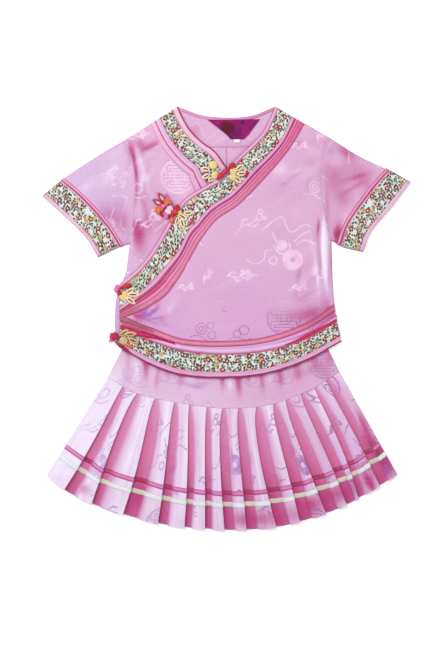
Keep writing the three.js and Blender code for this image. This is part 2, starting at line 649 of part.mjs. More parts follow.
/** Lays a petal fan on the trims, or on the bare cloth if drop is a layer, and returns its top. */
function placeFan(fan, drop = 0) {
  const mesh = piece(fan.name, petalFan(fan.loops, fan.reach, fan.spread), COLOURS.petal, 0.45);
  const turn = THREE.MathUtils.degToRad(fan.turn);
  const half = fan.reach / 2;
  const floor = seatUnder(fan.x + half * Math.cos(turn), fan.y + half * Math.sin(turn), half, fan.cloth) - drop;
  mesh.rotation.z = turn;
  mesh.position.set(fan.x, fan.y, floor);
  return floor + PETAL_HEIGHT;
}

function addFrogs() {
  const tops = {};
  for (const fan of PETALS) tops[fan.name] = placeFan(fan);
  for (const knot of KNOTS) {
    const mesh = piece(knot.name, knotBall(knot.radius, knot.length), COLOURS.knot, 0.4);
    mesh.rotation.z = THREE.MathUtils.degToRad(knot.turn);
    const floor = knot.on ? tops[knot.on] + SEAM : seatUnder(knot.x, knot.y, knot.radius);
    mesh.position.set(knot.x, knot.y, floor + knot.radius * FLATTENED);
  }
  const loopTop = placeFan(CHEST_LOOPS, LAYER);
  for (const bud of CHEST_BUDS) {
    const mesh = piece(bud.name, knotBall(bud.radius, 2 * bud.radius), COLOURS.bud, 0.4);
    mesh.position.set(bud.x, bud.y, loopTop + SEAM + bud.radius * FLATTENED);
  }
}

addSkirtTop();
addPleats();
addJacketBody();
addSleeve('left');
addSleeve('right');
addLapelTrims();
addHemTrims();
addNeckTrims();
addFrogs();

export default set;
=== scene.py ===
"""A girl's two-piece cheongsam set, laid flat: a brocade jacket over a pleated skirt.

Places are millimetres in the set's own frame until a mesh is made: +X runs toward the
wearer's left sleeve, +Y toward the neck and +Z up from the table.
"""

import logging
import math
from dataclasses import dataclass, field
from enum import Enum
from typing import Callable, Iterator, Optional, Sequence

import bpy
import numpy as np
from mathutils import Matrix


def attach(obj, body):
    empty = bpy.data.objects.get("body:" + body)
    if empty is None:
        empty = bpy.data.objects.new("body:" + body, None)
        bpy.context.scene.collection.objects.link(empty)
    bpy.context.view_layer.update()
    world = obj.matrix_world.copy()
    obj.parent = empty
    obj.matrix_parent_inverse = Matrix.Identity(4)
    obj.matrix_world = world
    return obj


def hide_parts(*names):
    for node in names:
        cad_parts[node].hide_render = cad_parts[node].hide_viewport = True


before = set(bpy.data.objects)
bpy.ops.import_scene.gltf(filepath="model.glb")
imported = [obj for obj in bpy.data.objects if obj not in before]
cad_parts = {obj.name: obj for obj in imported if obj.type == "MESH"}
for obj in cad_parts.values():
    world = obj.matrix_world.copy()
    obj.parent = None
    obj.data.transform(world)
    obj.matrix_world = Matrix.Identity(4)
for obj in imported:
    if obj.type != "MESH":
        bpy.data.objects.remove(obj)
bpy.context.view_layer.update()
LOG = logging.getLogger("cheongsam")

MM = 0.001
CLOTH = 0.8  # one layer of cloth
LAYER = 1.3  # from one layer of cloth to the next
OVERLAP_EASE = 0.5  # how much higher the overlap lies on the underlap
WAIST_RISE = 3.2  # how far the jacket lies over the skirt's waist

Array = np.ndarray
Line = np.ndarray
Piece = bpy.types.Object
Height = Callable[[Array, Array], Array]


# ---------------------------------------------------------------- lines on the table


def places(*points: Sequence[float]) -> Line:
    """Points of a line, one row each."""
    return np.array(points, dtype=float)


def travelled(line: Line) -> Array:
    """Distance of each point of a line from its start."""
    return np.concatenate([[0.0], np.cumsum(np.linalg.norm(np.diff(line, axis=0), axis=1))])


def length_of(line: Line) -> float:
    """Length of a line."""
    return float(travelled(line)[-1])


def along(line: Line, distances: Array) -> Line:
    """Points of a line at distances from its start."""
    marks = travelled(line)
    return np.stack([np.interp(distances, marks, line[:, axis]) for axis in (0, 1)], axis=-1)


def spread(line: Line, steps: int) -> Line:
    """A line's points again, evenly spaced in so many steps."""
    return along(line, np.linspace(0, length_of(line), steps + 1))


def curve(line: Line, spacing: float = 1.5) -> Line:
    """Smooth line through points.

    Args:
        line: the points that it passes through.
        spacing: rough distance between the points of the result.

    Returns:
        Evenly spaced points from the first to the last.
    """
    ends = np.vstack([2 * line[0] - line[1], line, 2 * line[-1] - line[-2]])
    pieces = []
    for index in range(1, len(ends) - 2):
        before, start, stop, after = ends[index - 1 : index + 3]
        gaps = [max(np.linalg.norm(b - a), 1e-6) ** 0.5 for a, b in ((before, start), (start, stop), (stop, after))]
        leave = (start - before) / gaps[0] - (stop - before) / (gaps[0] + gaps[1]) + (stop - start) / gaps[1]
        arrive = (stop - start) / gaps[1] - (after - start) / (gaps[1] + gaps[2]) + (after - stop) / gaps[2]
        share = np.linspace(0, 1, 24, endpoint=False)[:, None]
        square, cube = share**2, share**3
        piece = (2 * cube - 3 * square + 1) * start + (cube - 2 * square + share) * leave * gaps[1]
        pieces.append(piece + (3 * square - 2 * cube) * stop + (cube - square) * arrive * gaps[1])
    dense = np.vstack([*pieces, line[-1:]])
    return spread(dense, max(2, round(length_of(dense) / spacing)))


def by_width(line: Line, steps: int) -> Line:
    """Points of a line that runs across, at even steps of x."""
    across = np.linspace(line[0, 0], line[-1, 0], steps + 1)
    return np.stack([across, height_at(line, across)], axis=1)


def height_at(line: Line, x: Array) -> Array:
    """y of a line that runs across, at each x."""
    order = line if line[0, 0] < line[-1, 0] else line[::-1]
    return np.interp(x, order[:, 0], order[:, 1])


def joined(*lines: Line) -> Line:
    """One line from several that meet end to end."""
    return np.vstack([lines[0], *[line[1:] for line in lines[1:]]])


def raised(line: Line, distance: float) -> Line:
    """The same line, further up the table."""
    return line + np.array([0.0, distance])


def beside(line: Line, distance: float, start: Optional[Line] = None, end: Optional[Line] = None) -> Line:
    """Line beside another.

    Args:
        line: the line it follows.
        distance: how far to the left of its run, or to the right if negative.
        start: direction that the first point slides along.
        end: direction that the last point slides along.

    Returns:
        As many points as the line has.
    """
    run = np.gradient(line, axis=0)
    run /= np.linalg.norm(run, axis=1, keepdims=True)
    normal = np.stack([-run[:, 1], run[:, 0]], axis=1)
    slide = normal.copy()
    if start is not None:
        slide[0] = start
    if end is not None:
        slide[-1] = end
    return line + slide * (distance / np.sum(slide * normal, axis=1, keepdims=True))


def ease(share: Array) -> Array:
    """Smooth step from 0 to 1."""
    kept = np.clip(share, 0, 1)
    return kept * kept * (3 - 2 * kept)


def distance_to(line: Line, x: Array, y: Array, closed: bool = False) -> Array:
    """Distance from places to a line, or to a closed outline.

    Args:
        line: its points.
        x: where the places lie across.
        y: where they lie up the table.
        closed: whether its last point joins its first.

    Returns:
        Millimetres at each place.
    """
    stops = np.roll(line, -1, axis=0) if closed else line[1:]
    nearest = np.full(x.shape, np.inf)
    for start, stop in zip(line, stops):
        run = stop - start
        share = np.clip(((x - start[0]) * run[0] + (y - start[1]) * run[1]) / max(float(run @ run), 1e-12), 0, 1)
        nearest = np.minimum(nearest, np.hypot(x - start[0] - run[0] * share, y - start[1] - run[1] * share))
    return nearest


def inside(outline: Line, x: Array, y: Array) -> Array:
    """Whether places lie inside a closed outline.

    Args:
        outline: its points.
        x: where the places lie across.
        y: where they lie up the table.

    Returns:
        True or false at each place.
    """
    within = np.zeros(x.shape, dtype=bool)
    for start, stop in zip(outline, np.roll(outline, -1, axis=0)):
        if start[1] != stop[1]:
            edge = (stop[0] - start[0]) * (y - start[1]) / (stop[1] - start[1]) + start[0]
            within ^= ((start[1] > y) != (stop[1] > y)) & (x < edge)
    return within


def outside_by(outline: Line, x: Array, y: Array) -> Array:
    """Distance from places to a closed outline, zero inside it."""
    return np.where(inside(outline, x, y), 0.0, distance_to(outline, x, y, closed=True))


def inside_by(outline: Line, x: Array, y: Array) -> Array:
    """Distance from places to a closed outline, zero outside it."""
    return np.where(inside(outline, x, y), distance_to(outline, x, y, closed=True), 0.0)


def patch(lower: Line, upper: Line, left: Line, right: Line, blends: Optional[Array] = None) -> Array:
    """Grid of places over a four-sided panel.

    Args:
        lower: its lower edge, from left to right.
        upper: its upper edge, with as many points.
        left: its left edge, upward.
        right: its right edge, with as many points.
        blends: how far up each row lies, from 0 to 1, evenly if left out.

    Returns:
        Rows of places from the lower edge to the upper.
    """
    up = (np.linspace(0, 1, len(left)) if blends is None else blends)[:, None, None]
    across = np.linspace(0, 1, len(lower))[None, :, None]
    rows = (1 - up) * lower[None] + up * upper[None]
    left_shift = left[:, None] - ((1 - up) * lower[0] + up * upper[0])
    right_shift = right[:, None] - ((1 - up) * lower[-1] + up * upper[-1])
    return rows + left_shift * (1 - across) + right_shift * across


# ---------------------------------------------------------------- meshes


def mesh_object(name: str, vertices: Array, faces: Array) -> Piece:
    """Smooth-shaded mesh object from places in millimetres.

    Args:
        name: the object's name.
        vertices: places, one row each.
        faces: quads as vertex numbers, one row each.

    Returns:
        The object, at the origin of the frame.
    """
    mesh = bpy.data.meshes.new(name)
    mesh.from_pydata((vertices * MM).tolist(), [], faces.tolist())
    mesh.polygons.foreach_set("use_smooth", [True] * len(mesh.polygons))
    mesh.update()
    made = bpy.data.objects.new(name, mesh)
    bpy.context.scene.collection.objects.link(made)
    return made


def put_values(made: Piece, name: str, values: Array) -> None:
    """Stores one number for each vertex, for its material to read."""
    layer = made.data.attributes.new(name, "FLOAT", "POINT")
    layer.data.foreach_set("value", values.astype(np.float32).ravel())


def put_uv(made: Piece, across: Array, up: Array) -> None:
    """Stores the cloth's own coordinates in metres, one pair for each vertex."""
    corners = np.empty(len(made.data.loops), dtype=np.int32)
    made.data.loops.foreach_get("vertex_index", corners)
    pairs = np.stack([across[corners], up[corners]], axis=1) * MM
    made.data.uv_layers.new(name="cloth").data.foreach_set("uv", pairs.astype(np.float32).ravel())


def normals_of(solid: Array) -> Array:
    """Unit normals of a grid of places in space."""
    normal = np.cross(np.gradient(solid, axis=1), np.gradient(solid, axis=0))
    return normal / np.maximum(np.linalg.norm(normal, axis=2, keepdims=True), 1e-9)


def area_of(solid: Array) -> float:
    """Area of a grid of places in space, in square metres."""
    corner = solid[:-1, :-1]
    right, far, left = solid[:-1, 1:] - corner, solid[1:, 1:] - corner, solid[1:, :-1] - corner
    total = sum(np.linalg.norm(np.cross(*sides), axis=2).sum() for sides in ((right, far), (far, left)))
    return float(total / 2 * MM * MM)


def shell(name: str, upper: Array, lower: Array, cloth: Optional[Array] = None,
          values: Optional[dict[str, Array]] = None) -> Piece:
    """Closed thin shell between two grids of places.

    Args:
        name: the object's name.
        upper: its upper face, rows of places in space.
        lower: its lower face, with as many places.
        cloth: the cloth's own coordinates of each place, worked out from the upper face if left out.
        values: numbers for each place, by the name of their attribute.

    Returns:
        The object, with its faces outward.
    """
    up, across = upper.shape[:2]
    number = np.arange(up * across).reshape(up, across)
    quads = np.stack([number[:-1, :-1], number[:-1, 1:], number[1:, 1:], number[1:, :-1]], axis=-1).reshape(-1, 4)
    rim = np.concatenate([number[0], number[1:, -1], number[-1, -2::-1], number[-2:0:-1, 0]])
    after = np.roll(rim, -1)
    count = up * across
    faces = np.vstack([quads, quads[:, ::-1] + count, np.stack([rim + count, after + count, after, rim], axis=1)])
    if normals_of(upper)[..., 2].mean() < 0:
        faces = faces[:, ::-1]
    made = mesh_object(name, np.vstack([upper.reshape(-1, 3), lower.reshape(-1, 3)]), faces)
    if cloth is None:
        cloth = np.dstack(np.meshgrid(travelled(upper[up // 2]), travelled(upper[:, across // 2])))
    put_uv(made, *np.tile(cloth.reshape(-1, 2), (2, 1)).T)
    for key, numbers in (values or {}).items():
        put_values(made, key, np.tile(numbers.ravel(), 2))
    return made


def tube_of_cloth(name: str, rows: Array, low: Array, high: Array, thickness: float = CLOTH,
                  roll: float = 2.4) -> Piece:
    """Flattened tube of cloth, open at both ends.

    Args:
        name: the object's name.
        rows: stations along the tube, each from one folded edge to the other.
        low: height of its underside at each place.
        high: height of its upper side at each place.
        thickness: how thick the cloth is.
        roll: how far from a folded edge the cloth starts to roll round.

    Returns:
        The object, an outer wall and an inner wall joined at both ends.
    """
    stations, width = rows.shape[:2]
    gaps = np.linalg.norm(np.diff(rows, axis=1), axis=2)
    far = np.concatenate([np.zeros((stations, 1)), np.cumsum(gaps, axis=1)], axis=1)
    edge = np.minimum(far, far[:, -1:] - far)
    round_off = np.sqrt(np.clip(1 - (1 - np.clip(edge / roll, 0, 1)) ** 2, 0, 1))
    middle, half = (low + high) / 2, (high - low) / 2 * round_off
    share = (far / far[:, -1:])[..., None]
    run = (rows[:, -1:] - rows[:, :1]) / np.linalg.norm(rows[:, -1:] - rows[:, :1], axis=2, keepdims=True)
    around = np.concatenate([far, 2 * far[:, -1:] - far[:, -2:0:-1]], axis=1)
    flat = np.dstack([around, np.broadcast_to(travelled(rows[:, width // 2])[:, None], around.shape)]).reshape(-1, 2)
    walls = []
    for inset in (0.0, thickness):
        inward = rows + run * inset * (1 - 2 * share)
        kept = np.maximum(half - inset, 0.0)
        over = np.dstack([inward, middle + kept])[:, -2:0:-1]
        walls.append(np.concatenate([np.dstack([inward, middle - kept]), over], axis=1).reshape(-1, 3))
    number = np.arange(around.size).reshape(around.shape)
    turned = np.roll(number, -1, axis=1)
    outer = np.stack([turned[:-1], number[:-1], number[1:], turned[1:]], axis=-1).reshape(-1, 4)
    count = around.size
    first = np.stack([number[0], turned[0], turned[0] + count, number[0] + count], axis=1)
    last = np.stack([turned[-1], number[-1], number[-1] + count, turned[-1] + count], axis=1)
    faces = np.vstack([outer, outer[:, ::-1] + count, first, last])
    corners = rows[[0, 0, -1, -1], [0, -1, -1, 0]]
    after = np.roll(corners, -1, axis=0)
    if np.sum(corners[:, 0] * after[:, 1] - after[:, 0] * corners[:, 1]) < 0:
        faces = faces[:, ::-1]
    made = mesh_object(name, np.vstack(walls), faces)
    put_uv(made, *np.tile(flat, (2, 1)).T)
    return made


# ---------------------------------------------------------------- how the cloth lies


@dataclass(frozen=True)
class Crease:
    """A soft ridge, or a trough if its height is negative, steeper on its right side."""

    start: tuple[float, float]
    end: tuple[float, float]
    height: float
    width: float
    bow: float = 0.0
    steep: float = 0.5

    def rise(self, x: Array, y: Array) -> Array:
        """How far it lifts the cloth at places on the table.

        Args:
            x: where the places lie across.
            y: where they lie up the table.

        Returns:
            Millimetres at each place.
        """
        start, end = np.array(self.start), np.array(self.end)
        run = end - start
        side = np.array([-run[1], run[0]]) / np.linalg.norm(run)
        share = np.linspace(0, 1, 7)
        line = start + run * share[:, None] + side * (self.bow * 4 * share * (1 - share))[:, None]
        nearest, signed, place = np.full(x.shape, np.inf), np.zeros(x.shape), np.zeros(x.shape)
        for index, (place_x, place_y) in enumerate(line[:-1]):
            step = line[index + 1] - line[index]
            kept = np.clip(((x - place_x) * step[0] + (y - place_y) * step[1]) / (step @ step), 0, 1)
            away_x, away_y = x - place_x - step[0] * kept, y - place_y - step[1] * kept
            away = np.hypot(away_x, away_y)
            closer = away < nearest
            nearest = np.where(closer, away, nearest)
            signed = np.where(closer, away_y * step[0] - away_x * step[1], signed)
            place = np.where(closer, (index + kept) / (len(line) - 1), place)
        width = np.where(signed > 0, self.width, self.width * self.steep)
        taper = np.sin(np.pi * np.clip(0.06 + 0.88 * place, 0, 1)) ** 0.7
        return self.height * taper * np.exp(-((nearest / (width * (0.5 + 0.5 * taper))) ** 2))


def creased(creases: Sequence[Crease], x: Array, y: Array) -> Array:
    """Rise of cloth where several creases cross it."""
    return sum((crease.rise(x, y) for crease in creases), np.zeros(x.shape))


def rippled(x: Array, y: Array, size: float = 1.0) -> Array:
    """Slow uneven waves that any cloth keeps when it is laid down, from 0 to about 1."""
    waves = (np.sin(x / (31 * size) + 1.7 * np.sin(y / (57 * size)) + 0.6)
             + 0.8 * np.sin(y / (27 * size) - 1.3 * np.sin(x / (43 * size)) + 2.1)
             + 0.5 * np.sin((x + 0.7 * y) / (17 * size) + 0.4))
    return 0.5 + waves / 4.6


def route(*points: Sequence[float]) -> Line:
    """Field of a cut that holds a line through several points."""
    return field(default_factory=lambda: places(*points))


def spot(x: float, y: float) -> Array:
    """Field of a cut that holds one place."""
    return field(default_factory=lambda: places(x, y))


@dataclass(frozen=True)
class JacketCut:
    """Outline of the jacket as it lies, and the table of its hem."""

    neck_left: Line = spot(73, 318)
    neck_right: Line = spot(-73, 318)
    shoulder_left: Line = spot(155, 271)
    shoulder_right: Line = spot(-154, 267)
    underarm_right: Line = spot(-145, 112)
    lapel: Line = route(
        (73, 318), (56, 281), (16, 240), (-10, 211), (-38, 195), (-62, 179),
        (-79, 155), (-107, 108), (-123, 85), (-139, 69), (-160, 52))
    neck_edge: Line = route((-73, 318), (-64, 298), (-54, 282), (-36, 264), (-18, 251), (0, 226))
    back_neck: Line = route((-73, 318), (-38, 305), (0, 301), (38, 304), (73, 318))
    armhole_left: Line = route((157, 117), (145, 165), (140, 210), (145, 245), (155, 271))
    armhole_right: Line = route((-145, 112), (-140, 165), (-138, 205), (-143, 240), (-154, 267))
    side_left: Line = route((172, -34), (163, 10), (159, 60), (157, 117))
    side_right: Line = route((-167, -36), (-165, 30), (-150, 73), (-145, 112))
    underlap_hidden: Line = route((-160, 8), (-118, 22), (-86, 58), (-52, 118), (-16, 152), (28, 176))
    # across, then up: hem, foot and top of the floral band, foot and top of the tape
    hem_rows: Line = route(
        (-160, -42, -34, -13, -11, 1),
        (-115, -68, -59, -33, -23, -12),
        (-70, -84, -75, -48, -38, -28.5),
        (-10, -88.6, -79.6, -54, -42, -33),
        (58, -82.6, -74, -49, -36, -27),
        (118, -63, -54, -31.5, -16.5, -6),
        (172, -34, -26, -4, 11, 22))

    def hem_line(self, column: "HemLine", spacing: float = 1.5) -> Line:
        """One of the hem's lines, from the wearer's right to the left side seam."""
        line = self.hem_rows[:, [0, column.value]].copy()
        side = curve(self.side_left)
        line[-1, 0] = np.interp(line[-1, 1], side[:, 1], side[:, 0])
        return curve(line, spacing)

    def underlap_outline(self) -> Line:
        """Closed outline of the front that lies under the overlap."""
        neck = curve(self.neck_edge, 4)[::-1]
        hidden = curve(self.underlap_hidden, 4)
        return np.vstack([hidden, places((14, 205)), neck, self.shoulder_right, self.underarm_right])

    def outline(self) -> Line:
        """Closed outline of the whole jacket with its sleeves."""
        return np.vstack([
            curve(self.side_left, 6), SLEEVE_LEFT.outer(), curve(self.back_neck, 6)[::-1],
            SLEEVE_RIGHT.outer()[::-1], curve(self.side_right, 6)[::-1], self.hem_line(HemLine.HEM, 6)])


class HemLine(Enum):
    """Columns of the hem's table."""

    HEM = 1
    FLORAL_LOW = 2
    FLORAL_HIGH = 3
    TAPE_LOW = 4
    TAPE_HIGH = 5


@dataclass(frozen=True)
class SleeveCut:
    """Outline of one sleeve and how far its trims lie from the cuff."""

    side: str
    armhole: Line
    fold: Line
    cuff: Line
    underarm: Line
    binding: float = 6.0
    floral: float = 34.0
    tape_start: float = 36.0
    tape_end: float = 42.0

    def outer(self) -> Line:
        """Its edge from the underarm round the cuff to the shoulder."""
        return np.vstack([curve(self.underarm, 6), curve(self.cuff, 6), curve(self.fold, 6)[::-1]])

    def rows_at(self, insets: Sequence[float], columns: int) -> Array:
        """Lines across the sleeve, each from the underarm to the fold.

        Args:
            insets: distances of the lines from the cuff, up to the armhole at the last share.
            columns: how many steps each has.

        Returns:
            Rows of places, one row for each distance.
        """
        fold, underarm = curve(self.fold)[::-1], curve(self.underarm)[::-1]
        cuff, armhole = spread(curve(self.cuff), columns), spread(curve(self.armhole), columns)
        middle = columns // 2
        reach = float(np.linalg.norm(cuff[middle] - armhole[middle]))
        wanted = np.asarray(insets, dtype=float)
        share = np.clip((wanted - self.tape_end) / (reach - self.tape_end), 0, 1)
        near = np.minimum(wanted, self.tape_end)
        under, over = (along(line, near + (length_of(line) - self.tape_end) * share) for line in (underarm, fold))
        blend = near / reach + (1 - self.tape_end / reach) * share
        return patch(cuff, armhole, under, over, blend)

    def reach(self) -> float:
        """Length along the middle of the sleeve."""
        cuff, armhole = curve(self.cuff), curve(self.armhole)
        return float(np.linalg.norm(cuff[len(cuff) // 2] - armhole[len(armhole) // 2]))


CUT = JacketCut()
SLEEVE_LEFT = SleeveCut(
    "left", CUT.armhole_left,
    places((155, 271), (200, 243), (242, 223), (275, 204)),
    places((205, 101), (216, 129), (248, 168), (275, 204)),
    places((157, 117), (175, 108), (205, 101)))
SLEEVE_RIGHT = SleeveCut(
    "right", CUT.armhole_right,
    places((-154, 267), (-190, 246), (-241, 212), (-275, 183)),
    places((-193, 93), (-212, 123), (-250, 160), (-275, 183)),
    places((-145, 112), (-163, 107), (-193, 93)))


@dataclass(frozen=True)
class SkirtCut:
    """Lines of the skirt's flat top."""

    waist: Line = route((-150, -20), (-70, -46), (0, -52), (70, -46), (146, -18))
    band_foot: Line = route((-155, -42), (-72, -68), (0, -74), (72, -68), (150, -40))
    seam: Line = route((-178, -88), (-133, -112), (-77, -125), (-5, -134), (68, -128), (130, -104), (169, -79))


SKIRT = SkirtCut()


class Lay:
    """Heights of the jacket's cloth over the table."""

    waist_slope = (4.0, 70.0)  # how far past the skirt the jacket starts down to the table, and over how far
    overlap_slope = (20.0, 80.0)  # the same for the overlap past the underlap's edge
    loft = (1.0, 1.1, 16.0)  # of the front: even, uneven, and how far from the rim it grows
    crease_rim = 5.0  # how far from the rim the creases grow
    folds = tuple(Crease(*row, steep=1) for row in (
        ((-139, 238), (-124, 178), 2.4, 15), ((-146, 132), (-128, 168), 1.8, 13), ((152, 128), (104, 166), 2.8, 17),
        ((155, 112), (116, 84), 2.4, 16), ((150, 256), (120, 214), 2.2, 16), ((-96, 4), (-62, 30), 2.0, 14)))
    creases = tuple(Crease(*row) for row in (
        # down the wearer's left side, from the underarm to the hem
        ((146, 156), (153, 34), 3.0, 7, -3), ((126, 128), (139, 22), 1.8, 8, 4), ((137, 158), (142, 60), -1.4, 4),
        ((158, 104), (160, 8), 1.2, 4), ((112, 80), (104, 34), -1.2, 6), ((118, 34), (140, 40), -1.3, 6),
        ((96, 36), (140, 74), 1.3, 9),
        # across the chest, from the wearer's left armhole
        ((143, 232), (92, 196), 1.3, 11, 4), ((141, 202), (78, 172), 1.0, 12, -5), ((146, 250), (118, 262), 1.2, 6),
        ((100, 150), (20, 128), 0.7, 15, 6), ((60, 60), (-40, 30), 0.7, 17, -6), ((30, -10), (-70, -14), 0.9, 12, 5),
        ((80, -26), (20, -30), -0.8, 9),
        # the crushed corner at the wearer's right hem
        ((-128, 16), (-96, -8), 1.8, 6, 3), ((-134, -2), (-88, -26), -1.2, 5), ((-112, 30), (-84, 2), -1.0, 6),
        ((-96, 60), (-60, 44), 1.0, 9),
        # the underlap's shoulder, down the armhole
        ((-133, 256), (-128, 190), 1.2, 5, 5), ((-140, 252), (-134, 180), -1.6, 4, 4),
        ((-126, 250), (-96, 264), -1.2, 5), ((-134, 232), (-104, 246), 0.9, 6),
        ((-122, 234), (-100, 168), 1.5, 8, -5), ((-128, 190), (-112, 130), -1.1, 8),
        ((-138, 134), (-122, 148), -1.4, 6), ((-112, 208), (-84, 178), 0.8, 9)))

    def __init__(self) -> None:
        """Works out the outlines that the heights depend on."""
        self.skirt_top = np.vstack([curve(SKIRT.waist, 8), curve(SKIRT.seam, 8)[::-1]])
        self.underlap = CUT.underlap_outline()
        self.rim = CUT.outline()

    def jacket_floor(self, x: Array, y: Array) -> Array:
        """The jacket's underside: on the table, and up over the skirt's waist."""
        start, reach = self.waist_slope
        return WAIST_RISE * (1 - ease((outside_by(self.skirt_top, x, y) - start) / reach))

    def crown(self, x: Array, y: Array) -> Array:
        """Loft of the front, none at the jacket's rim."""
        away = inside_by(self.rim, x, y)
        even, uneven, reach = self.loft
        folded = creased(self.creases, x, y) * (1 - np.exp(-away / self.crease_rim))
        return (1 - np.exp(-away / reach)) * (even + uneven * rippled(x, y)) + folded

    def under_top(self, x: Array, y: Array) -> Array:
        """Upper face of the front that lies under the overlap."""
        floor = self.jacket_floor(x, y) + LAYER + creased(self.folds, x, y)
        return floor + CLOTH + self.crown(x, y)

    def over_top(self, x: Array, y: Array) -> Array:
        """Upper face of the overlap, which comes down past the underlap's edge."""
        start, reach = self.overlap_slope
        drop = 1 - ease((outside_by(self.underlap, x, y) - start) / reach)
        return self.under_top(x, y) + (LAYER + OVERLAP_EASE) * drop


LAY = Lay()


@dataclass(frozen=True)
class ShadePatch:
    """Soft patch of painted shade on the cloth, or of painted highlight if its depth is negative."""

    x: float
    y: float
    wide: float
    tall: float
    depth: float
    turn: float = 0.0

    def at(self, x: Array, y: Array) -> Array:
        """Its depth at places on the table."""
        cos, sin = math.cos(math.radians(self.turn)), math.sin(math.radians(self.turn))
        across, up = (x - self.x) * cos + (y - self.y) * sin, (y - self.y) * cos - (x - self.x) * sin
        return self.depth * np.exp(-((across / self.wide) ** 2) - (up / self.tall) ** 2)


def shade_patches(*rows: Sequence[float]) -> tuple[ShadePatch, ...]:
    """Patches of painted shade, from their values in order."""
    return tuple(ShadePatch(*row) for row in rows)
